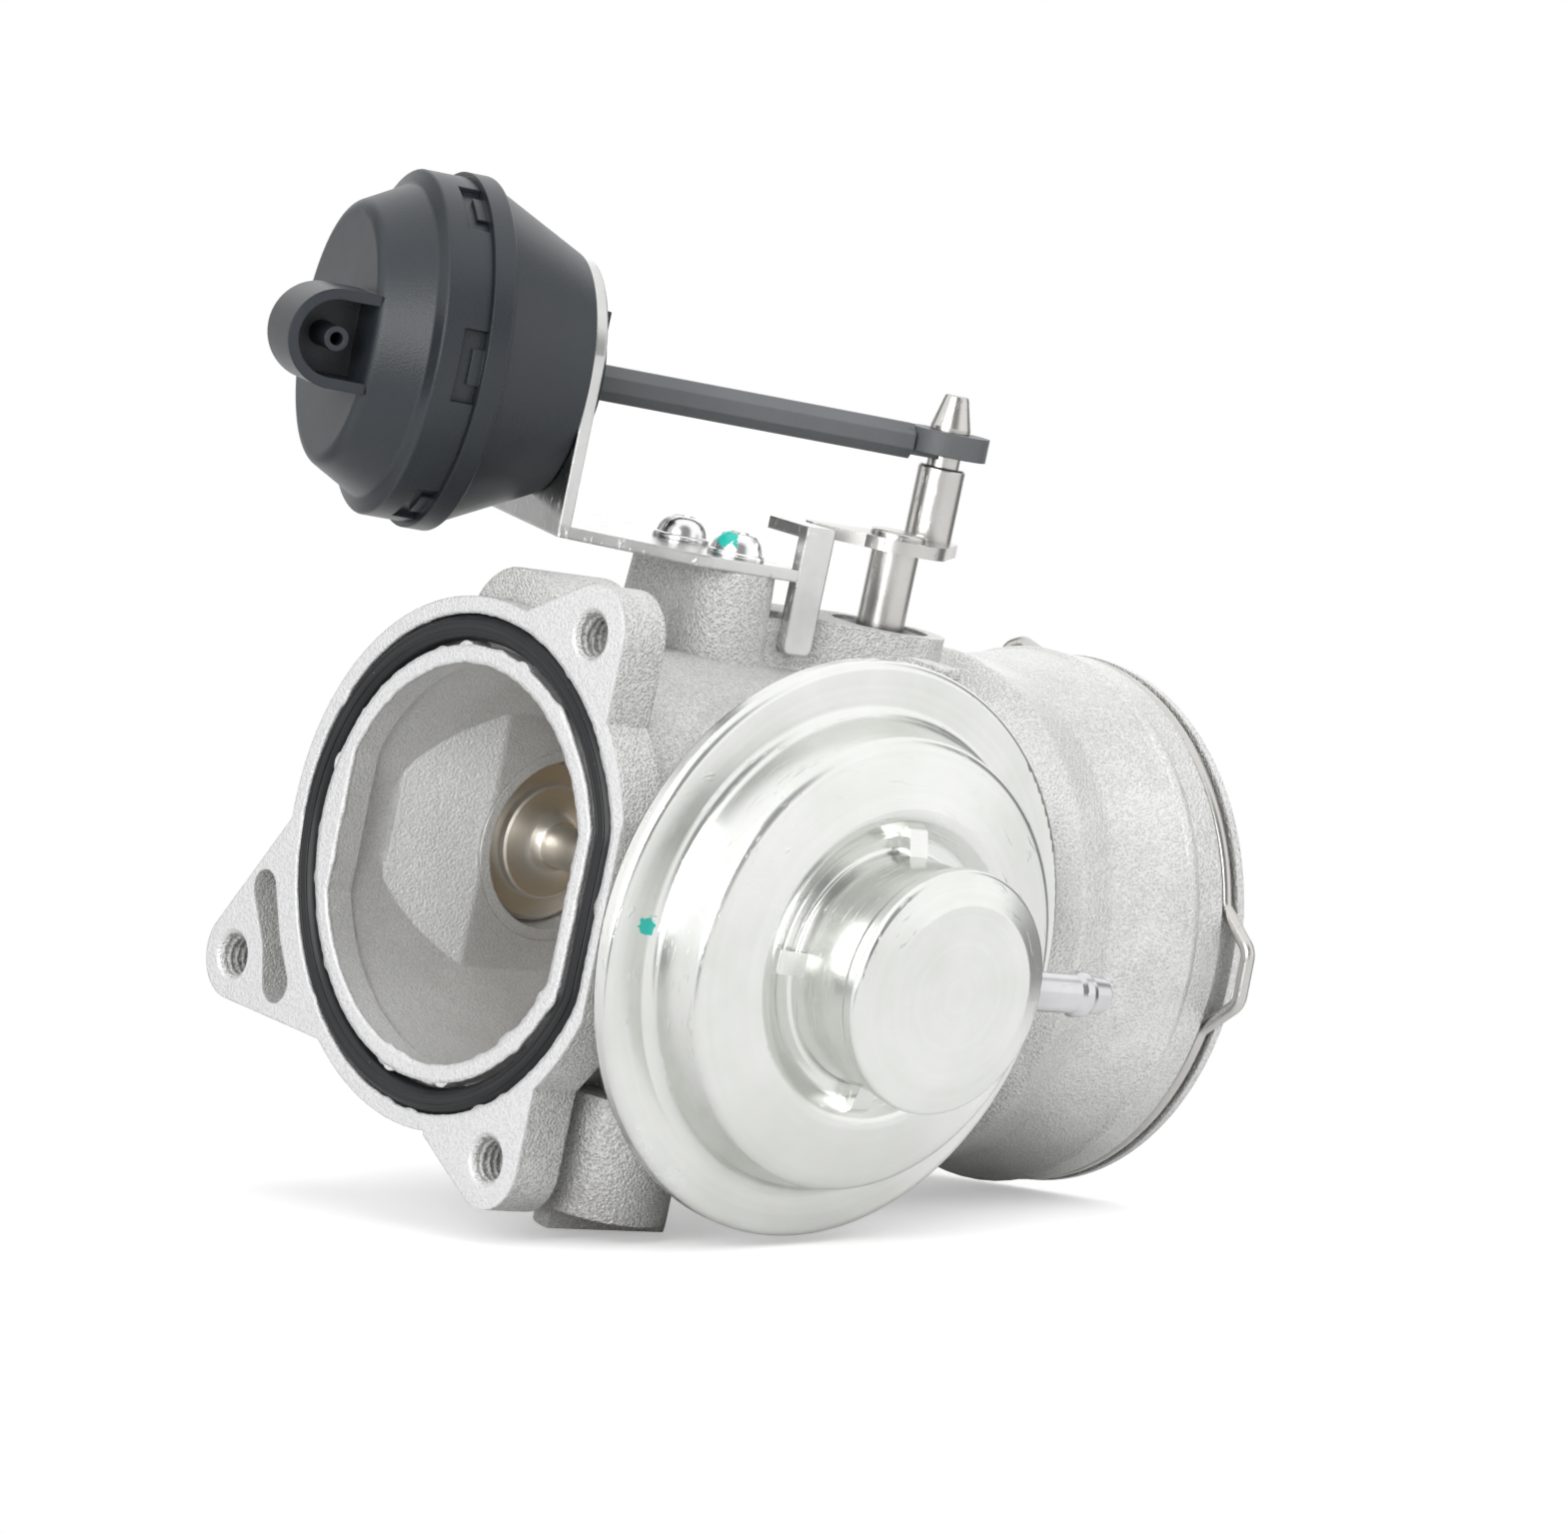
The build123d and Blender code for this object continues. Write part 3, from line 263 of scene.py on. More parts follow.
def new_material(name: str) -> tuple[Material, Tree, Node]:
    """Material with a bare Principled BSDF.

    Args:
        name: material name.

    Returns:
        The material, its tree and the shader node.
    """
    material = bpy.data.materials.new(name)
    material.use_nodes = True
    tree = material.node_tree
    return material, tree, tree.nodes["Principled BSDF"]


def bump(tree: Tree, shader: Node, height: Source, depth: float, edge: float = 0.0) -> None:
    """Feed a height to the shader's normal.

    Args:
        tree: the material's tree.
        shader: Principled BSDF.
        height: value socket.
        depth: height of the relief in metres.
        edge: radius that sharp edges are shaded with, or 0.
    """
    node = add_node(tree, "ShaderNodeBump")
    node.inputs["Distance"].default_value = depth
    feed(tree, node.inputs["Height"], height)
    if edge:
        rounded = add_node(tree, "ShaderNodeBevel", samples=4)
        rounded.inputs["Radius"].default_value = edge
        feed(tree, node.inputs["Normal"], rounded.outputs["Normal"])
    feed(tree, shader.inputs["Normal"], node.outputs["Normal"])


def rgba(red: float, green: float, blue: float) -> tuple[float, float, float, float]:
    """Opaque colour."""
    return (red, green, blue, 1.0)


# --------------------------------------------------------------- shared effects
class Effect(Enum):
    """Surface effects that the finishes share, by the name of their node group."""

    CAST_SKIN = "cast skin"
    HANDLING = "handling"
    PAINT_DOT = "paint dot"
    SCORE = "score"
    SPUN_RINGS = "spun rings"


@dataclass
class GroupBook:
    """Shader node groups of the effects, each built once.

    Rates compare a finer pattern with the scale that the group's input sets.
    """

    made: dict[Effect, Tree] = field(default_factory=dict)
    pit_rate: float = 1.6
    pit_share: float = 0.4
    pit_band: tuple[float, float] = (0.1, 0.75)
    sparkle_rate: float = 2.3
    sparkle_band: tuple[float, float] = (0.57, 0.68)
    soft_band: tuple[float, float] = (0.3, 0.7)
    scratch_rate: float = 4.0
    scratch_stretch: tuple[float, float, float] = (1.0, 12.0, 1.5)
    scratch_band: tuple[float, float] = (0.62, 0.7)
    dab_waves: float = 1400.0
    dab_rim: tuple[float, float] = (0.55, 1.45)
    score_shape: tuple[float, float, float] = (0.13, 0.5, 1.0)
    score_fade: float = 0.4
    score_strength: float = 0.85

    def get(self, effect: Effect) -> Tree:
        """Group of an effect, built when it is first asked for.

        Args:
            effect: the effect.

        Returns:
            The group.
        """
        makers = {
            Effect.CAST_SKIN: self.cast_skin,
            Effect.HANDLING: self.handling,
            Effect.PAINT_DOT: self.paint_dot,
            Effect.SCORE: self.score,
            Effect.SPUN_RINGS: self.spun_rings,
        }
        if effect not in self.made:
            self.made[effect] = makers[effect]()
        return self.made[effect]

    def start(self, effect: Effect, inputs: dict[str, float],
              outputs: tuple[str, ...]) -> tuple[Tree, Node, Node]:
        """Open a new group with float sockets.

        Args:
            effect: the effect that the group makes.
            inputs: input names and their defaults.
            outputs: output names.

        Returns:
            The tree, its input node and its output node.
        """
        tree = bpy.data.node_groups.new(effect.value, "ShaderNodeTree")
        kind = "NodeSocketFloat"
        for label, value in inputs.items():
            socket = tree.interface.new_socket(label, in_out="INPUT", socket_type=kind)
            socket.default_value = value
        for label in outputs:
            tree.interface.new_socket(label, in_out="OUTPUT", socket_type=kind)
        return tree, tree.nodes.new("NodeGroupInput"), tree.nodes.new("NodeGroupOutput")

    def spot(self, tree: Tree, start: Node, axes: str) -> Socket:
        """Point that the group's inputs name, 0 on the axes left out.

        Args:
            tree: the group's tree.
            start: its input node.
            axes: letters of the axes that are inputs.

        Returns:
            The vector socket.
        """
        node = add_node(tree, "ShaderNodeCombineXYZ")
        for axis in axes:
            feed(tree, node.inputs[axis], start.outputs[axis])
        return node.outputs[0]

    def cast_skin(self) -> Tree:
        """Sand-cast skin: rough grain, a fine sparkle mask for painted glints, and slow patches.

        Returns:
            Group with the outputs Height, Sparkle and Patches.
        """
        tree, start, end = self.start(
            Effect.CAST_SKIN, {"Grain": 1800.0, "Patch": 45.0}, ("Height", "Sparkle", "Patches"))
        place = object_place(tree)
        scale = start.outputs["Grain"]
        cells = add_node(tree, "ShaderNodeTexVoronoi", feature="F1")
        feed(tree, cells.inputs["Vector"], place)
        feed(tree, cells.inputs["Scale"], math_node(tree, "MULTIPLY", scale, self.pit_rate))
        pits = remap(tree, cells.outputs["Distance"], *self.pit_band)
        pits = math_node(tree, "MULTIPLY", pits, self.pit_share)
        grain = noise(tree, place, scale, detail=4.0, rough=0.7)
        grain = math_node(tree, "MULTIPLY", grain, 1.0 - self.pit_share)
        feed(tree, end.inputs["Height"], math_node(tree, "ADD", grain, pits))
        fine = math_node(tree, "MULTIPLY", scale, self.sparkle_rate)
        fine = noise(tree, place, fine, detail=2.0, rough=0.8)
        feed(tree, end.inputs["Sparkle"], remap(tree, fine, *self.sparkle_band))
        slow = noise(tree, place, start.outputs["Patch"], detail=5.0, rough=0.6)
        feed(tree, end.inputs["Patches"], remap(tree, slow, *self.soft_band))
        return tree

    def handling(self) -> Tree:
        """Slow unevenness and fine scratches of a handled surface.

        Returns:
            Group with the outputs Smudge and Scratch.
        """
        tree, start, end = self.start(Effect.HANDLING, {"Scale": 60.0}, ("Smudge", "Scratch"))
        place = object_place(tree)
        scale = start.outputs["Scale"]
        slow = noise(tree, place, scale, detail=4.0, rough=0.6)
        feed(tree, end.inputs["Smudge"], remap(tree, slow, *self.soft_band))
        fine = math_node(tree, "MULTIPLY", scale, self.scratch_rate)
        lines = noise(tree, place, fine, rough=0.6, stretch=self.scratch_stretch)
        feed(tree, end.inputs["Scratch"], remap(tree, lines, *self.scratch_band))
        return tree

    def paint_dot(self) -> Tree:
        """Dab of inspection paint with a ragged rim, round a point.

        Returns:
            Group with the output Mask.
        """
        inputs = {"X": 0.0, "Y": 0.0, "Z": 0.0, "Radius": 0.001}
        tree, start, end = self.start(Effect.PAINT_DOT, inputs, ("Mask",))
        place = object_place(tree)
        gap = vector_node(tree, "DISTANCE", place, self.spot(tree, start, "XYZ"))
        ragged = noise(tree, place, self.dab_waves, rough=0.6)
        ragged = remap(tree, ragged, *self.soft_band, *self.dab_rim)
        reach = math_node(tree, "MULTIPLY", gap, ragged)
        mask = math_node(tree, "LESS_THAN", reach, start.outputs["Radius"])
        feed(tree, end.inputs["Mask"], mask)
        return tree

    def score(self) -> Tree:
        """Thin dark score that runs along X through a point and fades at its rim.

        Returns:
            Group with the output Mask.
        """
        inputs = {"X": 0.0, "Y": 0.0, "Z": 0.0, "Radius": 0.001}
        tree, start, end = self.start(Effect.SCORE, inputs, ("Mask",))
        gap = vector_node(tree, "SUBTRACT", object_place(tree), self.spot(tree, start, "XYZ"))
        length = vector_node(tree, "LENGTH", vector_node(tree, "MULTIPLY", gap, self.score_shape))
        radius = start.outputs["Radius"]
        depth = math_node(tree, "SUBTRACT", radius, length)
        fade = math_node(tree, "MULTIPLY", radius, self.score_fade)
        ratio = math_node(tree, "DIVIDE", depth, fade)
        mask = math_node(tree, "MULTIPLY", ratio, self.score_strength, clamp=True)
        feed(tree, end.inputs["Mask"], mask)
        return tree

    def spun_rings(self) -> Tree:
        """Fine rings round an axis along Y, as pressing leaves on sheet.

        Returns:
            Group with the output Ring.
        """
        inputs = {"X": 0.0, "Z": 0.0, "Scale": 900.0}
        tree, start, end = self.start(Effect.SPUN_RINGS, inputs, ("Ring",))
        gap = vector_node(tree, "SUBTRACT", object_place(tree), self.spot(tree, start, "XZ"))
        length = vector_node(tree, "LENGTH", vector_node(tree, "MULTIPLY", gap, (1.0, 0.0, 1.0)))
        line = add_node(tree, "ShaderNodeCombineXYZ")
        feed(tree, line.inputs["X"], length)
        rings = noise(tree, line.outputs[0], start.outputs["Scale"], rough=0.7)
        feed(tree, end.inputs["Ring"], remap(tree, rings, *self.soft_band))
        return tree


GROUPS = GroupBook()


def use_effect(tree: Tree, effect: Effect, **values: float) -> Node:
    """Place a shared effect in a material.

    Args:
        tree: the material's tree.
        effect: effect to place.
        values: its input values.

    Returns:
        The group node.
    """
    node = add_node(tree, "ShaderNodeGroup", node_tree=GROUPS.get(effect))
    for name, value in values.items():
        node.inputs[name].default_value = value
    return node


# -------------------------------------------------------------------- finishes
@dataclass(frozen=True)
class CastAluminium:
    """Shot-blasted sand casting with painted glints on a fine sparkle, painted shade in corners
    and low down, and a milled flange face.
    """

    name: str = "cast_aluminium"
    light: tuple = rgba(0.80, 0.80, 0.795)
    dark: tuple = rgba(0.62, 0.62, 0.61)
    milled: tuple = rgba(0.76, 0.76, 0.765)
    pits: tuple = rgba(0.30, 0.30, 0.295)
    # Colour of the painted shade in corners and low on the leg and body.
    painted_shade: tuple = rgba(0.25, 0.24, 0.225)
    scored: tuple = rgba(0.05, 0.045, 0.04)
    # Colour and share of the painted glints on the fine sparkle.
    painted_glint: tuple = rgba(0.95, 0.95, 0.95)
    painted_glint_share: float = 0.8
    metallic: float = 0.45
    rough: float = 0.5
    rough_swing: float = 0.1
    turned_metallic: float = 0.8
    turned_rough: float = 0.34
    turned_calm: float = 0.8
    relief: float = 0.0003
    calm_relief: float = 0.4
    edge: float = 0.0004
    pit_band: tuple[float, float] = (0.35, 0.6)
    pit_depth: float = 0.55
    # Painted shade in corners and recesses, from ambient occlusion: reach, band and depth.
    nook_reach: float = 0.014
    nook_band: tuple[float, float] = (0.15, 0.72)
    nook_depth: float = 0.24
    # Painted shade low on the leg and body: depth, height band and X band.
    low_shade_depth: float = 0.62
    low_shade_z: tuple[float, float] = (-0.036, -0.024)
    low_shade_x: tuple[float, float] = (0.008, 0.055)
    score_at: tuple[float, float, float] = (29.0, 22.0, -18.0)
    score_radius: float = 0.55
    face_depth: float = 0.0003
    passage_start: float = 0.0005
    passage_radius: float = 0.0278
    socket_x: tuple[float, float] = (0.058, 0.062)
    worn_waves: float = 110.0
    worn_stretch: tuple[float, float, float] = (0.5, 1.0, 1.0)
    worn_band: tuple[float, float] = (0.35, 0.65)
    worn_least: float = 0.45

    def build(self) -> Material:
        """Make the material.

        Returns:
            The material.
        """
        material, tree, shader = new_material(self.name)
        skin = use_effect(tree, Effect.CAST_SKIN)
        patches = skin.outputs["Patches"]
        face = self.milled_face(tree)
        calm = math_node(tree, "MAXIMUM", face, self.smooth_areas(tree))
        relief = mix_value(tree, calm, 1.0, self.calm_relief)
        colour = mix_colour(tree, patches, self.dark, self.light)
        colour = mix_colour(tree, face, colour, self.milled)
        pits = remap(tree, skin.outputs["Height"], *self.pit_band, self.pit_depth, 0.0)
        colour = mix_colour(tree, math_node(tree, "MULTIPLY", pits, relief), colour, self.pits)
        # Painted shade: darker where ambient occlusion finds surfaces close by, and darker towards
        # the bottom.
        nook = add_node(tree, "ShaderNodeAmbientOcclusion", samples=4)
        nook.inputs["Distance"].default_value = self.nook_reach
        shade = remap(tree, nook.outputs["AO"], *self.nook_band, self.nook_depth, 0.0)
        shade = math_node(tree, "MAXIMUM", shade, self.underside(tree))
        colour = mix_colour(tree, shade, colour, self.painted_shade)
        x, y, z = self.score_at
        score = use_effect(tree, Effect.SCORE, X=x * MM, Y=y * MM, Z=z * MM,
                           Radius=self.score_radius * MM)
        colour = mix_colour(tree, score.outputs["Mask"], colour, self.scored)
        # Painted glints: near-white colour on the fine sparkle of the skin.
        painted_glint = math_node(tree, "MULTIPLY", skin.outputs["Sparkle"], self.painted_glint_share)
        feed(tree, shader.inputs["Base Color"], mix_colour(tree, painted_glint, colour, self.painted_glint))
        turned = self.turned_socket(tree)
        metallic = mix_value(tree, turned, self.metallic, self.turned_metallic)
        feed(tree, shader.inputs["Metallic"], metallic)
        rough = remap(tree, patches, 0.0, 1.0, self.rough, self.rough + self.rough_swing)
        feed(tree, shader.inputs["Roughness"], mix_value(tree, turned, rough, self.turned_rough))
        height = math_node(tree, "MULTIPLY", skin.outputs["Height"], relief)
        bump(tree, shader, height, self.relief, self.edge)
        return material

    def underside(self, tree: Tree) -> Socket:
        """Painted shade, darker towards the bottom, on the leg and the underside of the body.

        Args:
            tree: the material's tree.

        Returns:
            Share of the dark colour.
        """
        place = split_place(tree)
        low = remap(tree, place.outputs["Z"], *self.low_shade_z, self.low_shade_depth, 0.0)
        ends = math_node(tree, "MULTIPLY",
                         math_node(tree, "GREATER_THAN", place.outputs["X"], self.low_shade_x[0]),
                         math_node(tree, "LESS_THAN", place.outputs["X"], self.low_shade_x[1]))
        return math_node(tree, "MULTIPLY", low, ends)

    def smooth_areas(self, tree: Tree) -> Socket:
        """Mask of the passage's walls and, weaker, of the turned socket.

        Args:
            tree: the material's tree.

        Returns:
            Socket that rises to 1 on the smoother areas.
        """
        across = vector_node(tree, "MULTIPLY", object_place(tree), (0.0, 1.0, 1.0))
        length = vector_node(tree, "LENGTH", across)
        inside = math_node(tree, "LESS_THAN", length, self.passage_radius)
        deep = math_node(tree, "GREATER_THAN", split_place(tree).outputs["X"], self.passage_start)
        inside = math_node(tree, "MULTIPLY", inside, deep)
        turned = math_node(tree, "MULTIPLY", self.turned_socket(tree), self.turned_calm)
        return math_node(tree, "MAXIMUM", inside, turned)

    def turned_socket(self, tree: Tree) -> Socket:
        """Mask of the turned hose socket, with the patches that handling leaves on it.

        Args:
            tree: the material's tree.

        Returns:
            Socket that rises to 1 on the hose socket.
        """
        behind = remap(tree, split_place(tree).outputs["X"], *self.socket_x)
        patches = noise(tree, object_place(tree), self.worn_waves, detail=5.0, rough=0.65,
                        stretch=self.worn_stretch)
        worn = remap(tree, patches, *self.worn_band, self.worn_least, 1.0)
        return math_node(tree, "MULTIPLY", behind, worn)

    def milled_face(self, tree: Tree) -> Socket:
        """Mask of the flange face, the one surface that lies at the frame's origin."""
        return math_node(tree, "LESS_THAN", split_place(tree).outputs["X"], self.face_depth)


@dataclass(frozen=True)
class PlatedSheet:
    """Satin metal, plated or bare, which may carry spun rings and a dab of paint."""

    name: str
    light: tuple
    dark: tuple
    rough: float
    rough_swing: float = 0.12
    relief: float = 0.00002
    edge: float = 0.0
    spun: tuple[float, float] | None = None
    spun_share: float = 0.22
    dab: tuple[float, float, float, float] | None = None
    paint: tuple = rgba(0.02, 0.50, 0.42)

    def build(self) -> Material:
        """Make the material.

        Returns:
            The material.
        """
        material, tree, shader = new_material(self.name)
        marks = use_effect(tree, Effect.HANDLING)
        smudge = marks.outputs["Smudge"]
        tone = smudge
        if self.spun:
            x, z = self.spun
            rings = use_effect(tree, Effect.SPUN_RINGS, X=x * MM, Z=z * MM)
            tone = mix_value(tree, self.spun_share, tone, rings.outputs["Ring"])
        colour = mix_colour(tree, tone, self.dark, self.light)
        shader.inputs["Metallic"].default_value = 1.0
        if self.dab:
            x, y, z, radius = (size * MM for size in self.dab)
            dot = use_effect(tree, Effect.PAINT_DOT, X=x, Y=y, Z=z, Radius=radius)
            mask = dot.outputs["Mask"]
            colour = mix_colour(tree, mask, colour, self.paint)
            feed(tree, shader.inputs["Metallic"], math_node(tree, "SUBTRACT", 1.0, mask))
        feed(tree, shader.inputs["Base Color"], colour)
        rough = remap(tree, smudge, 0.0, 1.0, self.rough, self.rough + self.rough_swing)
        feed(tree, shader.inputs["Roughness"], rough)
        bump(tree, shader, marks.outputs["Scratch"], self.relief, self.edge)
        return material


@dataclass(frozen=True)
class MouldedPlastic:
    """Glass-filled plastic with a fine satin texture."""

    name: str
    light: tuple
    dark: tuple
    rough: float
    rough_swing: float = 0.1
    grain: float = 2600.0
    patch: float = 40.0
    relief: float = 0.00003
    edge: float = 0.0003

    def build(self) -> Material:
        """Make the material.

        Returns:
            The material.
        """
        material, tree, shader = new_material(self.name)
        skin = use_effect(tree, Effect.CAST_SKIN, Grain=self.grain, Patch=self.patch)
        patches = skin.outputs["Patches"]
        feed(tree, shader.inputs["Base Color"], mix_colour(tree, patches, self.dark, self.light))
        rough = remap(tree, patches, 0.0, 1.0, self.rough, self.rough + self.rough_swing)
        feed(tree, shader.inputs["Roughness"], rough)
        bump(tree, shader, skin.outputs["Height"], self.relief, self.edge)
        return material


@dataclass(frozen=True)
class Rubber:
    """Black moulded rubber with a few pale specks."""

    name: str = "black_rubber"
    colour: tuple = rgba(0.008, 0.009, 0.010)
    dust: tuple = rgba(0.018, 0.019, 0.021)
    speck: tuple = rgba(0.35, 0.35, 0.35)
    rough: float = 0.26
    rough_swing: float = 0.15
    shine: float = 0.32
    smudge_waves: float = 120.0
    speck_waves: float = 3200.0
    speck_band: tuple[float, float] = (0.79, 0.83)

    def build(self) -> Material:
        """Make the material.

        Returns:
            The material.
        """
        material, tree, shader = new_material(self.name)
        shader.inputs["Specular IOR Level"].default_value = self.shine
        smudge = use_effect(tree, Effect.HANDLING, Scale=self.smudge_waves).outputs["Smudge"]
        colour = mix_colour(tree, smudge, self.colour, self.dust)
        specks = noise(tree, object_place(tree), self.speck_waves, detail=1.0)
        specks = remap(tree, specks, *self.speck_band)
        feed(tree, shader.inputs["Base Color"], mix_colour(tree, specks, colour, self.speck))
        rough = remap(tree, smudge, 0.0, 1.0, self.rough, self.rough + self.rough_swing)
        feed(tree, shader.inputs["Roughness"], rough)
        return material


class Finish(Enum):
    """Finishes of the valve's pieces."""

    CASTING = CastAluminium()
    ZINC = PlatedSheet("zinc_plate", rgba(0.80, 0.807, 0.787), rgba(0.66, 0.67, 0.642), 0.17,
                       spun=VALVE_AXIS, dab=(1.3, -36.1, 1.2, 1.0))
    PLASTIC = MouldedPlastic(
        "black_plastic", rgba(0.023, 0.029, 0.036), rgba(0.014, 0.018, 0.023), 0.33)
    RUBBER = Rubber()
    GREY_PLASTIC = MouldedPlastic(
        "grey_plastic", rgba(0.135, 0.14, 0.148), rgba(0.10, 0.105, 0.112), 0.42)
    STEEL = PlatedSheet("satin_steel", rgba(0.60, 0.59, 0.57), rgba(0.50, 0.49, 0.47), 0.2)
    BRIGHT = PlatedSheet("bright_plate", rgba(0.80, 0.80, 0.80), rgba(0.72, 0.72, 0.72), 0.12,
                         dab=(34.0, 1.6, 42.9, 1.3))
    BRACKET = PlatedSheet("bracket_sheet", rgba(0.68, 0.68, 0.675), rgba(0.48, 0.48, 0.475), 0.13,
                          relief=0.00004, edge=0.0004)
    SEAT = PlatedSheet("seat_steel", rgba(0.92, 0.88, 0.81), rgba(0.80, 0.76, 0.69), 0.32)
    BRONZE = PlatedSheet("bronze", rgba(0.62, 0.47, 0.27), rgba(0.5, 0.37, 0.2), 0.3)
    # Darker plate on the nipple: painted shade that stands in for its dark reflections.
    NIPPLE = PlatedSheet("nipple_plate", rgba(0.66, 0.66, 0.67), rgba(0.50, 0.50, 0.51), 0.1)


WORN_BY: dict[Finish, tuple[str, ...]] = {
    Finish.CASTING: ("housing_casting", "egr_valve_seat"),
    Finish.ZINC: ("can_cover", "can_base_pan"),
    Finish.PLASTIC: ("actuator_cover", "actuator_body", "actuator_piston", "actuator_retainer"),
    Finish.GREY_PLASTIC: ("actuator_rod",),
    Finish.RUBBER: ("manifold_o_ring", "can_gasket", "can_diaphragm", "shaft_seal",
                    "actuator_diaphragm"),
    Finish.STEEL: ("stem_soot_shield", "diaphragm_rear_plate", "diaphragm_front_plate",
                   "return_spring", "spring_seat_cup", "flap_shaft", "shaft_end_plug",
                   "crank_lever", "crank_pin", "actuator_spring", "socket_clip"),
    Finish.BRACKET: ("actuator_bracket",),
    Finish.NIPPLE: ("can_nipple",),
    Finish.BRIGHT: ("bracket_screws", "can_base_screws", "flap_screws"),
    Finish.SEAT: ("valve_poppet", "valve_stem"),
    Finish.BRONZE: ("stem_guide_bush", "flap_plate", "shaft_upper_bush", "shaft_lower_bush"),
}


# ----------------------------------------------------------------------- studio
@dataclass
class ProductCamera:
    """Camera that shows the valve from the manifold side."""

    position: tuple = (-0.42822, -0.53325, 0.09689)
    right: tuple = (0.7445, -0.6353, 0.2054)
    up: tuple = (-0.0806, 0.2198, 0.9722)
    lens: float = 133.08
    sensor: float = 36.0
    clip_start: float = 0.01

    def build(self) -> Thing:
        """Make the camera and use it.

        Returns:
            The camera object.
        """
        data = bpy.data.cameras.new("camera")
        data.lens = self.lens
        data.sensor_width = self.sensor
        data.sensor_fit = "HORIZONTAL"
        data.dof.use_dof = False
        data.clip_start = self.clip_start
        camera = bpy.data.objects.new("camera", data)
        bpy.context.scene.collection.objects.link(camera)
        right = Vector(self.right).normalized()
        up = Vector(self.up)
        up = (up - up.dot(right) * right).normalized()
        turn = Matrix((right, up, right.cross(up))).transposed().to_4x4()
        camera.matrix_world = Matrix.Translation(Vector(self.position)) @ turn
        bpy.context.scene.camera = camera
        return camera


@dataclass(frozen=True)
class DarkPatch:
    """Dim area of the studio that only reflections show.

    Attributes:
        way: direction from the part.
        flat: share of the height that counts, below 1 for an upright band.
        rim: cosine of the angle at the rim.
        core: cosine of the angle where it is full.
        depth: how dark it is.
    """

    way: tuple[float, float, float]
    flat: float
    rim: float
    core: float
    depth: float

    def share(self, tree: Tree, way: Socket) -> Socket:
        """Share of the light that is left in a direction.

        Args:
            tree: tree to add to.
            way: socket with the direction.

        Returns:
            Value socket, 1 outside the patch.
        """
        unit = vector_node(tree, "NORMALIZE",
                           vector_node(tree, "MULTIPLY", way, (1.0, 1.0, self.flat)))
        gap = vector_node(tree, "DOT_PRODUCT", unit, Vector(self.way).normalized())
        return remap(tree, gap, self.rim, self.core, 1.0, 1.0 - self.depth)


@dataclass(frozen=True)
class SoftBox:
    """Square soft lamp that faces the part."""

    name: str
    way: tuple[float, float, float]
    distance: float
    size: float
    power: float
    mirrored: bool = False

    def build(self, centre: Vector) -> None:
        """Hang the lamp.

        Args:
            centre: point that it faces.
        """
        data = bpy.data.lights.new(self.name, "AREA")
        data.energy = self.power
        data.size = self.size
        lamp = bpy.data.objects.new(self.name, data)
        lamp.visible_glossy = self.mirrored
        back = Vector(self.way).normalized() * self.distance
        turn = back.to_track_quat("Z", "Y").to_matrix().to_4x4()
        lamp.matrix_world = Matrix.Translation(centre + back) @ turn
        bpy.context.scene.collection.objects.link(lamp)


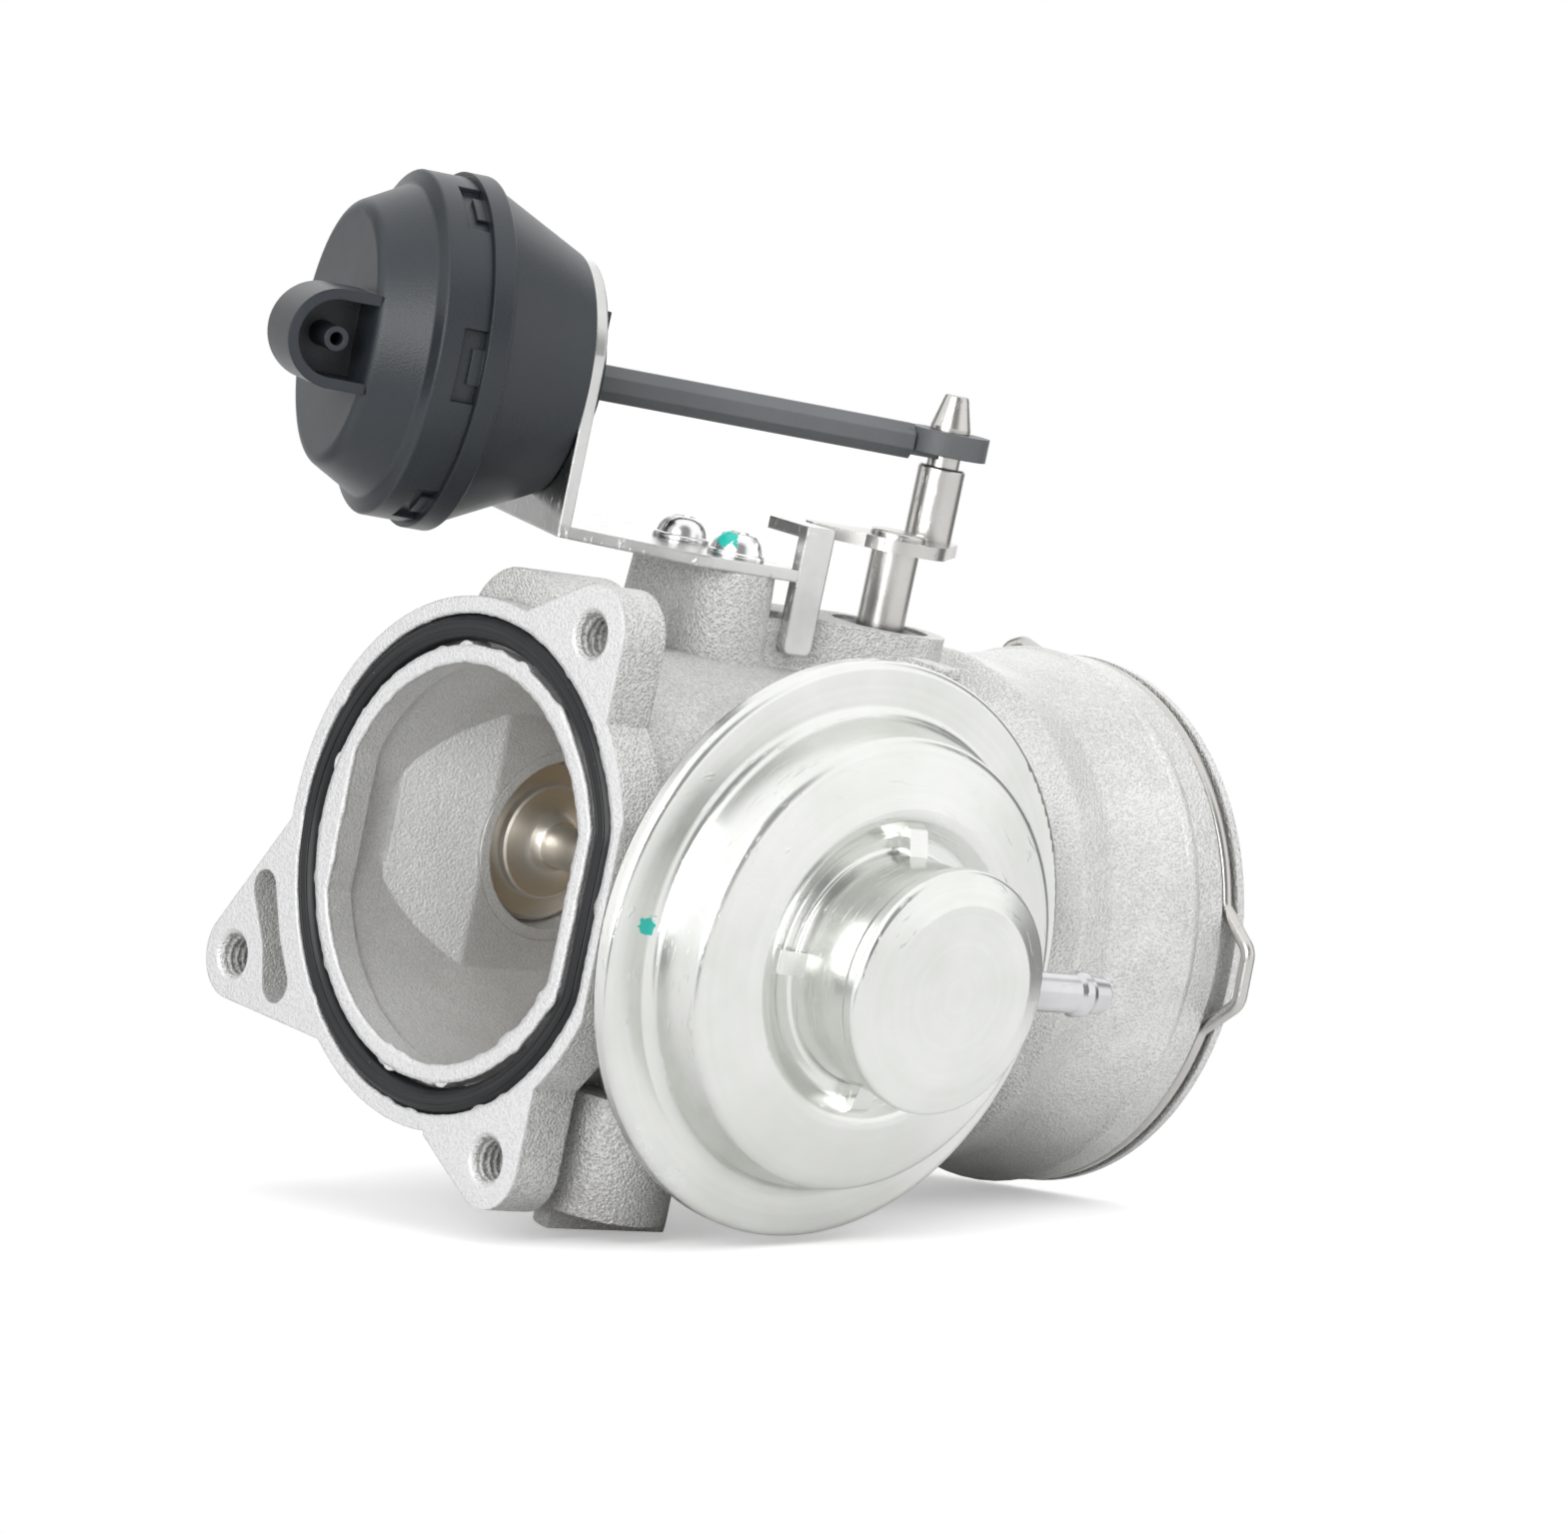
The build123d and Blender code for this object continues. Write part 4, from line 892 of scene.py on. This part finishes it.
@dataclass
class Studio:
    """Pale floor, even world and soft lamps."""

    floor_normal: tuple = (-0.0852, 0.1628, 0.983)
    floor_half: float = 3.0
    floor_seen: tuple = rgba(0.97, 0.97, 0.97)
    floor_bounce: tuple = rgba(0.5, 0.5, 0.5)
    floor_rough: float = 0.9
    floor_shine: float = 0.1
    floor_lift: float = 0.35
    shadow_centre: tuple = (0.04, 0.0, 0.0)
    shadow_near: float = 0.06
    shadow_far: float = 0.20
    white: tuple = rgba(1.0, 1.0, 1.0)
    world_fill: float = 0.42
    glossy_fill: float = 1.3
    glossy_floor: float = 1.1
    patches: tuple[DarkPatch, ...] = (
        DarkPatch((-0.39, -0.78, 0.55), 1.0, 0.84, 0.94, 0.75),
        DarkPatch((0.97, -0.03, 0.0), 0.3, 0.93, 0.985, 0.8),
        DarkPatch((-0.20, 0.97, 0.0), 0.3, 0.93, 0.985, 0.8),
        DarkPatch((-0.77, -0.63, 0.0), 0.3, 0.972, 0.992, 0.85))
    lamp_centre: tuple = (0.035, 0.0, 0.01)
    lamps: tuple[SoftBox, ...] = (
        SoftBox("top_box", (0.1, -0.15, 1.0), 0.8, 1.3, 5.4),
        SoftBox("right_box", (0.75, -0.75, 0.35), 0.9, 1.0, 2.3),
        SoftBox("left_box", (-1.0, -0.40, 0.28), 0.9, 0.7, 5.9, mirrored=True))

    def build(self) -> None:
        """Make the floor, the world and the lamps."""
        self.floor()
        self.world()
        for lamp in self.lamps:
            lamp.build(Vector(self.lamp_centre))
        bpy.context.scene.view_settings.view_transform = "Standard"

    def floor(self) -> None:
        """Lay the floor so that it touches the part's lowest point."""
        normal = Vector(self.floor_normal).normalized()
        meshes = [thing.data for thing in bpy.data.objects if thing.type == "MESH"]
        lowest = min(normal.dot(vertex.co) for mesh in meshes for vertex in mesh.vertices)
        foot = Vector(self.shadow_centre)
        foot += normal * (lowest - normal.dot(foot))
        half = self.floor_half
        corners = [(-half, -half, 0), (half, -half, 0), (half, half, 0), (-half, half, 0)]
        mesh = bpy.data.meshes.new("floor")
        mesh.from_pydata(corners, [], [(0, 1, 2, 3)])
        mesh.materials.append(self.floor_material())
        floor = bpy.data.objects.new("floor", mesh)
        turn = normal.to_track_quat("Z", "Y").to_matrix().to_4x4()
        floor.matrix_world = Matrix.Translation(foot) @ turn
        bpy.context.scene.collection.objects.link(floor)

    def light_left(self, tree: Tree, way: Socket) -> Socket:
        """Share of the light that reflections find in a direction.

        Args:
            tree: tree to add to.
            way: socket with the direction.

        Returns:
            Value socket, 1 where no dark patch lies.
        """
        left = 1.0
        for patch in self.patches:
            left = math_node(tree, "MULTIPLY", left, patch.share(tree, way))
        return left

    def floor_material(self) -> Material:
        """White floor that keeps the shadow near the part and clears to white away from it.

        Returns:
            The material.
        """
        material, tree, shader = new_material("floor_white")
        shader.inputs["Roughness"].default_value = self.floor_rough
        shader.inputs["Specular IOR Level"].default_value = self.floor_shine
        rays = add_node(tree, "ShaderNodeLightPath")
        seen = rays.outputs["Is Camera Ray"]
        shown = math_node(tree, "MAXIMUM", seen, rays.outputs["Is Glossy Ray"])
        colour = mix_colour(tree, shown, self.floor_bounce, self.floor_seen)
        feed(tree, shader.inputs["Base Color"], colour)
        length = vector_node(tree, "LENGTH", object_place(tree))
        away = remap(tree, length, self.shadow_near, self.shadow_far)
        glow = add_node(tree, "ShaderNodeEmission")
        glow.inputs["Color"].default_value = self.white
        left = self.light_left(tree, add_node(tree, "ShaderNodeNewGeometry").outputs["Position"])
        mirrored = math_node(tree, "MULTIPLY", left, self.glossy_floor)
        feed(tree, glow.inputs["Strength"], mix_value(tree, seen, mirrored, 1.0))
        faint = add_node(tree, "ShaderNodeEmission")
        faint.inputs["Color"].default_value = self.white
        feed(tree, faint.inputs["Strength"], math_node(tree, "MULTIPLY", seen, self.floor_lift))
        lift = add_node(tree, "ShaderNodeAddShader")
        feed(tree, lift.inputs[0], shader.outputs[0])
        feed(tree, lift.inputs[1], faint.outputs[0])
        mix = add_node(tree, "ShaderNodeMixShader")
        feed(tree, mix.inputs[0], math_node(tree, "MULTIPLY", away, shown))
        feed(tree, mix.inputs[1], lift.outputs[0])
        feed(tree, mix.inputs[2], glow.outputs[0])
        feed(tree, tree.nodes["Material Output"].inputs["Surface"], mix.outputs[0])
        return material

    def world(self) -> None:
        """White to the camera and to reflections, softer as a light."""
        world = bpy.data.worlds.new("studio")
        bpy.context.scene.world = world
        world.use_nodes = True
        tree = world.node_tree
        back = tree.nodes["Background"]
        back.inputs["Color"].default_value = self.white
        rays = add_node(tree, "ShaderNodeLightPath")
        glossy = rays.outputs["Is Glossy Ray"]
        camera_part = math_node(tree, "MULTIPLY", rays.outputs["Is Camera Ray"],
                                1.0 - self.world_fill)
        glossy_part = math_node(tree, "MULTIPLY", glossy, self.glossy_fill - self.world_fill)
        strength = math_node(tree, "ADD", camera_part, self.world_fill)
        strength = math_node(tree, "ADD", strength, glossy_part)
        way = add_node(tree, "ShaderNodeTexCoord").outputs["Generated"]
        lost = math_node(tree, "SUBTRACT", self.light_left(tree, way), 1.0)
        share = math_node(tree, "ADD", 1.0, math_node(tree, "MULTIPLY", lost, glossy))
        feed(tree, back.inputs["Strength"], math_node(tree, "MULTIPLY", strength, share))


# ----------------------------------------------------------------- mesh helpers
class Body(Enum):
    """Bodies of the part that carry added pieces."""

    HOUSING = "gas_body"
    VALVE = "valve"


def add_piece(name: str, points: list, faces: list, material: Material, body: Body) -> Thing:
    """Make a mesh piece that rides on a body.

    Args:
        name: piece name.
        points: corners in metres.
        faces: corner numbers of each face.
        material: finish.
        body: body that carries it.

    Returns:
        The new object.
    """
    mesh = bpy.data.meshes.new(name)
    mesh.from_pydata([tuple(point) for point in points], [], faces)
    shape = bmesh.new()
    shape.from_mesh(mesh)
    bmesh.ops.recalc_face_normals(shape, faces=shape.faces)
    shape.to_mesh(mesh)
    shape.free()
    for polygon in mesh.polygons:
        polygon.use_smooth = True
    piece = bpy.data.objects.new(name, mesh)
    bpy.context.scene.collection.objects.link(piece)
    mesh.materials.append(material)
    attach(piece, body.value)
    return piece


def node_box(node: Thing) -> tuple[Vector, Vector]:
    """Corners of a CAD node's box in the shared frame.

    Args:
        node: the node.

    Returns:
        Lowest and highest corner.
    """
    points = [node.matrix_world @ vertex.co for vertex in node.data.vertices]
    low, high = ([end(point[axis] for point in points) for axis in range(3)] for end in (min, max))
    return Vector(low), Vector(high)


@dataclass
class Thread:
    """Screw thread in a bore: one ridge wound inside the wall, with sizes in metres."""

    name: str
    mouth: Vector
    inward: Vector
    radius: float
    depth: float
    pitch: float
    length: float
    steps: int = 36
    half_width: float = 0.42
    bury: float = 0.03 * MM

    def build(self, material: Material, body: Body) -> Thing:
        """Wind the ridge.

        Args:
            material: finish of the thread.
            body: body that carries it.

        Returns:
            The piece.
        """
        across = self.inward.orthogonal().normalized()
        up = self.inward.cross(across)
        wall = self.radius + self.bury
        tip = self.radius - self.depth
        flank = self.inward * self.half_width * self.pitch
        count = int(self.steps * self.length / self.pitch)
        points = []
        for step in range(count + 1):
            angle = math.tau * step / self.steps
            way = across * math.cos(angle) + up * math.sin(angle)
            along = self.mouth + self.inward * (self.pitch * step / self.steps)
            fade = min(1.0, step / self.steps, (count - step) / self.steps)
            crest = wall + (tip - wall) * fade
            points += [along - flank + way * wall, along + way * crest, along + flank + way * wall]
        faces = []
        for step in range(count):
            a, b = 3 * step, 3 * step + 3
            faces += [(a, b, b + 1, a + 1), (a + 1, b + 1, b + 2, a + 2), (a + 2, b + 2, b, a)]
        return add_piece(self.name, points, faces, material, body)


@dataclass
class Turned:
    """Piece turned about an axis, from a profile of radius and height in millimetres."""

    name: str
    feet: tuple[Vector, ...]
    axis: Vector
    profile: tuple[tuple[float, float], ...]
    steps: int = 72
    weld: float = 1e-6
    sliver: float = 1e-7
    sharp_angle: float = 0.6

    def build(self, material: Material, body: Body) -> Thing:
        """Turn the profile once round each foot.

        Args:
            material: finish of the piece.
            body: body that carries it.

        Returns:
            The piece.
        """
        across = self.axis.orthogonal().normalized()
        up = self.axis.cross(across)
        points, faces = [], []
        rows = len(self.profile)
        for foot in self.feet:
            first = len(points)
            for step in range(self.steps):
                angle = math.tau * step / self.steps
                way = across * math.cos(angle) + up * math.sin(angle)
                points += [foot + way * radius * MM + self.axis * height * MM
                           for radius, height in self.profile]
                a, b = first + rows * step, first + rows * ((step + 1) % self.steps)
                faces += [(a + k, b + k, b + k + 1, a + k + 1) for k in range(rows - 1)]
        piece = add_piece(self.name, points, faces, material, body)
        self.clean(piece.data)
        return piece

    def clean(self, mesh: bpy.types.Mesh) -> None:
        """Close the poles and mark the sharp corners.

        Args:
            mesh: the turned mesh.
        """
        shape = bmesh.new()
        shape.from_mesh(mesh)
        bmesh.ops.remove_doubles(shape, verts=shape.verts, dist=self.weld)
        bmesh.ops.dissolve_degenerate(shape, edges=shape.edges, dist=self.sliver)
        bmesh.ops.recalc_face_normals(shape, faces=shape.faces)
        for edge in shape.edges:
            if len(edge.link_faces) == 2 and edge.calc_face_angle() > self.sharp_angle:
                edge.smooth = False
        shape.to_mesh(mesh)
        shape.free()


@dataclass(frozen=True)
class SealLine:
    """Line of the O-ring and its groove: a circle with one straight side, in metres."""

    radius: float
    flat: float
    corner: float

    def points(self, count: int) -> list[tuple[float, float]]:
        """Points along the line, as Y and Z in metres.

        Args:
            count: number of points.

        Returns:
            Closed list of points.
        """
        centre_y = -self.flat + self.corner
        reach = self.radius - self.corner
        centre_z = math.sqrt(max(reach * reach - centre_y * centre_y, 0.0))
        meet = math.atan2(centre_z, centre_y)
        arc = self.radius * 2 * meet
        bend = self.corner * (math.pi - meet)
        side = 2 * centre_z
        line = []
        for i in range(count):
            at = (arc + bend + side + bend) * i / count
            if at <= arc:
                line.append(self.polar(0.0, 0.0, self.radius, -meet + at / self.radius))
            elif at <= arc + bend:
                turn = meet + (at - arc) / self.corner
                line.append(self.polar(centre_y, centre_z, self.corner, turn))
            elif at <= arc + bend + side:
                line.append((-self.flat, centre_z - (at - arc - bend)))
            else:
                turn = math.pi + (at - arc - bend - side) / self.corner
                line.append(self.polar(centre_y, -centre_z, self.corner, turn))
        return line

    @staticmethod
    def polar(y: float, z: float, reach: float, angle: float) -> tuple[float, float]:
        """Point at an angle round a centre."""
        return (y + reach * math.cos(angle), z + reach * math.sin(angle))

    def inset(self, distance: float) -> "SealLine":
        """The same line, moved inwards."""
        return SealLine(self.radius - distance, self.flat - distance, self.corner - distance)


@dataclass(frozen=True)
class LipLine:
    """Mouth of the passage: a circle with two straight sides, in metres."""

    radius: float
    flat: float
    least: float = 1e-6

    def points(self, count: int) -> list[tuple[float, float]]:
        """Points along the line, as Y and Z in metres.

        Args:
            count: number of points.

        Returns:
            Closed list of points.
        """
        line = []
        for i in range(count):
            angle = math.tau * i / count
            reach = min(self.radius, self.flat / max(abs(math.cos(angle)), self.least))
            line.append((reach * math.cos(angle), reach * math.sin(angle)))
        return line


# ---------------------------------------------------------------- sub-assemblies
Nodes = dict[str, Thing]
Finishes = dict[Finish, Material]


@dataclass
class Gasket:
    """Moulding lines of the O-ring and the ragged edges of its groove and of the mouth.

    The lines are in metres. The sizes of the edges' chips are in millimetres.
    """

    outer: SealLine = SealLine(30.0 * MM, 28.3 * MM, 8.0 * MM)
    mouth: LipLine = LipLine(24.1 * MM, 22.5 * MM)
    groove_width: float = 3.95 * MM
    ring_radius: float = 1.62 * MM
    ring_play: float = 0.05 * MM
    ring_front: float = -0.44 * MM
    line_shift: float = 0.55 * MM
    line_half: float = 0.2 * MM
    line_rise: float = 0.18 * MM
    count: int = 420
    chip_waves: float = 900.0
    nub_waves: float = 0.35
    nub_start: float = 0.18
    nub_reach: float = 0.9
    overhang: float = 0.10
    overhang_swing: float = 0.12
    proud: float = 0.015
    back: float = 0.35
    lip: float = 0.35
    root_back: float = 0.05
    root: float = 0.8

    def ridge(self, name: str, shift: float, material: Material) -> Thing:
        """Thin moulding line along the O-ring's front.

        Args:
            name: piece name.
            shift: distance from the middle of the ring, in metres.
            material: the ring's finish.

        Returns:
            The piece.
        """
        line = self.outer.inset(self.ring_radius + self.ring_play + shift).points(self.count)
        drop = self.ring_radius - math.sqrt(self.ring_radius ** 2 - shift ** 2)
        crest = Vector((-self.line_rise, 0.0, 0.0))
        points, faces = [], []
        for i, (y, z) in enumerate(line):
            side = Vector((0.0, y, z)).normalized() * self.line_half
            at = Vector((self.ring_front + drop, y, z))
            points += [at - side, at + crest, at + side]
            a, b = 3 * i, 3 * ((i + 1) % self.count)
            faces += [(a, b, b + 1, a + 1), (a + 1, b + 1, b + 2, a + 2)]
        return add_piece(name, points, faces, material, Body.HOUSING)

    def ragged_edge(self, name: str, line: SealLine | LipLine, inwards: bool,
                    material: Material) -> Thing:
        """Cast edge with small chips and nubs that hang over a recess.

        Args:
            name: piece name.
            line: the edge.
            inwards: the recess lies inside the line.
            material: the casting's finish.

        Returns:
            The piece.
        """
        rise = Vector((-self.proud * MM, 0.0, 0.0))
        lip = Vector((self.lip * MM, 0.0, 0.0))
        root = Vector((self.root * MM, 0.0, 0.0))
        points, faces = [], []
        for i, (y, z) in enumerate(line.points(self.count)):
            at = Vector((0.0, y, z))
            side = at.normalized() * (-1.0 if inwards else 1.0)
            place = at * self.chip_waves
            nub = blender_noise.noise(place * self.nub_waves) - self.nub_start
            over = self.overhang + self.overhang_swing * blender_noise.noise(place)
            over = max((over + max(0.0, nub) * self.nub_reach) * MM, 0.0)
            points += [at - side * self.back * MM + rise, at + side * over + rise,
                       at + side * over + lip, at - side * self.root_back * MM + root]
            a, b = 4 * i, 4 * ((i + 1) % self.count)
            faces += [(a + k, b + k, b + k + 1, a + k + 1) for k in range(3)]
        return add_piece(name, points, faces, material, Body.HOUSING)

    def build(self, nodes: Nodes, finishes: Finishes) -> list[Thing]:
        """Make all the lines.

        Args:
            nodes: the frame's nodes; not used.
            finishes: the materials.

        Returns:
            The pieces.
        """
        rubber, cast = finishes[Finish.RUBBER], finishes[Finish.CASTING]
        inner = self.outer.inset(self.groove_width)
        return [self.ridge("o_ring_line_outer", -self.line_shift, rubber),
                self.ridge("o_ring_line_inner", self.line_shift, rubber),
                self.ragged_edge("groove_edge_outer", self.outer, True, cast),
                self.ragged_edge("groove_edge_inner", inner, False, cast),
                self.ragged_edge("mouth_edge", self.mouth, True, cast)]


@dataclass
class HiddenSprings:
    """Springs inside the two cans, as copies of their CAD nodes."""

    return_fixed: float = -55.75
    return_free: float = -34.65
    rod_fixed: float = -4.97
    rod_keep: float = 0.4

    def stand_in(self, node: Thing, name: str, material: Material) -> Thing:
        """Copy of a CAD node with a mesh and finish of its own.

        Args:
            node: the node.
            name: name of the copy.
            material: its finish.

        Returns:
            The copy, which stands for the node.
        """
        piece = bpy.data.objects.new(name, node.data.copy())
        piece.matrix_world = node.matrix_world.copy()
        bpy.context.scene.collection.objects.link(piece)
        piece.data.materials.clear()
        piece.data.materials.append(material)
        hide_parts(node.name)
        return piece

    def build(self, nodes: Nodes, finishes: Finishes) -> list[Thing]:
        """Make both springs.

        Args:
            nodes: the frame's nodes.
            finishes: the materials.

        Returns:
            The pieces.
        """
        steel = finishes[Finish.STEEL]
        valve = self.stand_in(nodes["return_spring"], "return_spring_coil", steel)
        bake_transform(valve)
        rod = self.stand_in(nodes["actuator_spring"], "actuator_spring_coil", steel)
        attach(rod, "gas_body")
        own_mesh(rod)
        return [valve, rod]


@dataclass
class PoppetHead:
    """Head of the poppet valve on its seat. Sizes are radius and height in millimetres."""

    centre: tuple[float, float] = VALVE_AXIS
    profile: tuple[tuple[float, float], ...] = (
        (2.2, 0.0), (3.1, 0.0), (3.3, 0.3), (3.7, 1.5), (4.4, 1.9), (7.0, 1.9), (7.3, 2.15),
        (7.35, 3.2), (7.8, 3.35), (9.6, 3.05), (9.95, 3.15), (10.4, 3.6), (10.4, 4.4))
    crown_radius: float = 8.6
    bore_radius: float = 2.2

    def build(self, nodes: Nodes, finishes: Finishes) -> list[Thing]:
        """Turn the head in place of its CAD node.

        Args:
            nodes: the frame's nodes.
            finishes: the materials.

        Returns:
            The piece.
        """
        low, high = node_box(nodes["valve_poppet"])
        top = (high.y - low.y) / MM
        x, z = self.centre
        head = Turned("poppet_head", (Vector((x * MM, low.y, z * MM)),), ALONG_Y,
                      self.profile + ((self.crown_radius, top), (self.bore_radius, top)))
        piece = head.build(finishes[Finish.SEAT], Body.VALVE)
        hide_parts("valve_poppet")
        return [piece]


@dataclass
class BracketScrews:
    """Domed socket screws of the actuator's bracket, in millimetres."""

    places: tuple[tuple[float, float], ...] = ((36.7, 13.7), (36.1, 2.1))
    head_height: float = 3.0
    shank_radius: float = 1.95
    profile: tuple[tuple[float, float], ...] = (
        (3.55, 0.0), (3.6, 0.1), (3.6, 0.45), (3.5, 0.6), (3.3, 0.72), (3.2, 1.0), (3.05, 1.5),
        (2.8, 2.0), (2.45, 2.45), (2.1, 2.75), (1.85, 2.9), (1.6, 2.98), (1.45, 2.9), (1.35, 1.7),
        (0.0, 1.7))

    def build(self, nodes: Nodes, finishes: Finishes) -> list[Thing]:
        """Turn both screws in place of their CAD node.

        Args:
            nodes: the frame's nodes.
            finishes: the materials.

        Returns:
            The piece.
        """
        low, high = node_box(nodes["bracket_screws"])
        under = high.z - self.head_height * MM
        end = (low.z - under) / MM
        shank = ((0.0, end), (self.shank_radius, end), (self.shank_radius, 0.0))
        feet = tuple(Vector((x * MM, y * MM, under)) for x, y in self.places)
        heads = Turned("bracket_screw_heads", feet, ALONG_Z, shank + self.profile)
        piece = heads.build(finishes[Finish.BRIGHT], Body.HOUSING)
        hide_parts("bracket_screws")
        return [piece]


@dataclass
class EarThreads:
    """Threads in the three ears of the manifold flange, in millimetres."""

    mouth_x: float = 0.7
    places: tuple[tuple[str, float, float], ...] = (
        ("top", -17.15, 31.4), ("side", 38.4, -20.9), ("low", -17.8, -31.6))
    radius: float = 2.55
    depth: float = 0.34
    pitch: float = 1.0
    length: float = 5.5

    def build(self, nodes: Nodes, finishes: Finishes) -> list[Thing]:
        """Cut the threads.

        Args:
            nodes: the frame's nodes; not used.
            finishes: the materials.

        Returns:
            The pieces.
        """
        sizes = (self.radius * MM, self.depth * MM, self.pitch * MM, self.length * MM)
        return [Thread(f"ear_thread_{name}", Vector((self.mouth_x, y, z)) * MM, ALONG_X,
                       *sizes).build(finishes[Finish.CASTING], Body.HOUSING)
                for name, y, z in self.places]


@dataclass
class SocketBead:
    """Low bead round the hose socket. Sizes are radius and X in millimetres."""

    profile: tuple[tuple[float, float], ...] = (
        (34.2, 90.6), (34.42, 90.9), (34.66, 91.3), (34.7, 91.6), (34.66, 91.9), (34.42, 92.5),
        (34.2, 92.9))

    def build(self, nodes: Nodes, finishes: Finishes) -> list[Thing]:
        """Turn the bead.

        Args:
            nodes: the frame's nodes; not used.
            finishes: the materials.

        Returns:
            The piece.
        """
        bead = Turned("socket_bead", (Vector(),), ALONG_X, self.profile)
        return [bead.build(finishes[Finish.CASTING], Body.HOUSING)]


@dataclass
class PortThreads:
    """Threads in the two screw holes of the exhaust port, in millimetres.

    The holes lie on one circle, at 45 degrees.
    """

    centre: tuple[float, float] = VALVE_AXIS
    mouth_y: float = 43.8
    circle: float = 22.0
    diagonal: float = math.sqrt(0.5)
    sides: tuple[tuple[str, float], ...] = (("upper", 1.0), ("lower", -1.0))
    radius: float = 3.4
    depth: float = 0.45
    pitch: float = 1.25
    length: float = 8.2

    def build(self, nodes: Nodes, finishes: Finishes) -> list[Thing]:
        """Cut the threads.

        Args:
            nodes: the frame's nodes; not used.
            finishes: the materials.

        Returns:
            The pieces.
        """
        sizes = (self.radius * MM, self.depth * MM, self.pitch * MM, self.length * MM)
        pieces = []
        for name, side in self.sides:
            reach = side * self.circle * self.diagonal
            mouth = Vector((self.centre[0] + reach, self.mouth_y, self.centre[1] + reach)) * MM
            thread = Thread(f"port_thread_{name}", mouth, -ALONG_Y, *sizes)
            pieces.append(thread.build(finishes[Finish.CASTING], Body.HOUSING))
        return pieces


def dress(nodes: Nodes, finishes: Finishes) -> None:
    """Give every CAD node its finish.

    Args:
        nodes: the frame's nodes.
        finishes: the materials.
    """
    for finish, names in WORN_BY.items():
        for name in names:
            slots = nodes[name].data.materials
            slots.clear()
            slots.append(finishes[finish])
            LOG.info("%s dressed in %s", name, finishes[finish].name)


def main() -> None:
    """Load the frame, dress it, add the details, the studio and the camera."""
    logging.basicConfig(level=logging.INFO)
    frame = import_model()
    nodes = frame["nodes"]
    finishes = {finish: finish.value.build() for finish in Finish}
    dress(nodes, finishes)
    for assembly in (Gasket(), HiddenSprings(), PoppetHead(), BracketScrews(), EarThreads(),
                     SocketBead(), PortThreads()):
        for piece in assembly.build(nodes, finishes):
            LOG.info("%s added by %s", piece.name, type(assembly).__name__)
    Studio().build()
    ProductCamera().build()


if __name__ == "__main__":
    main()
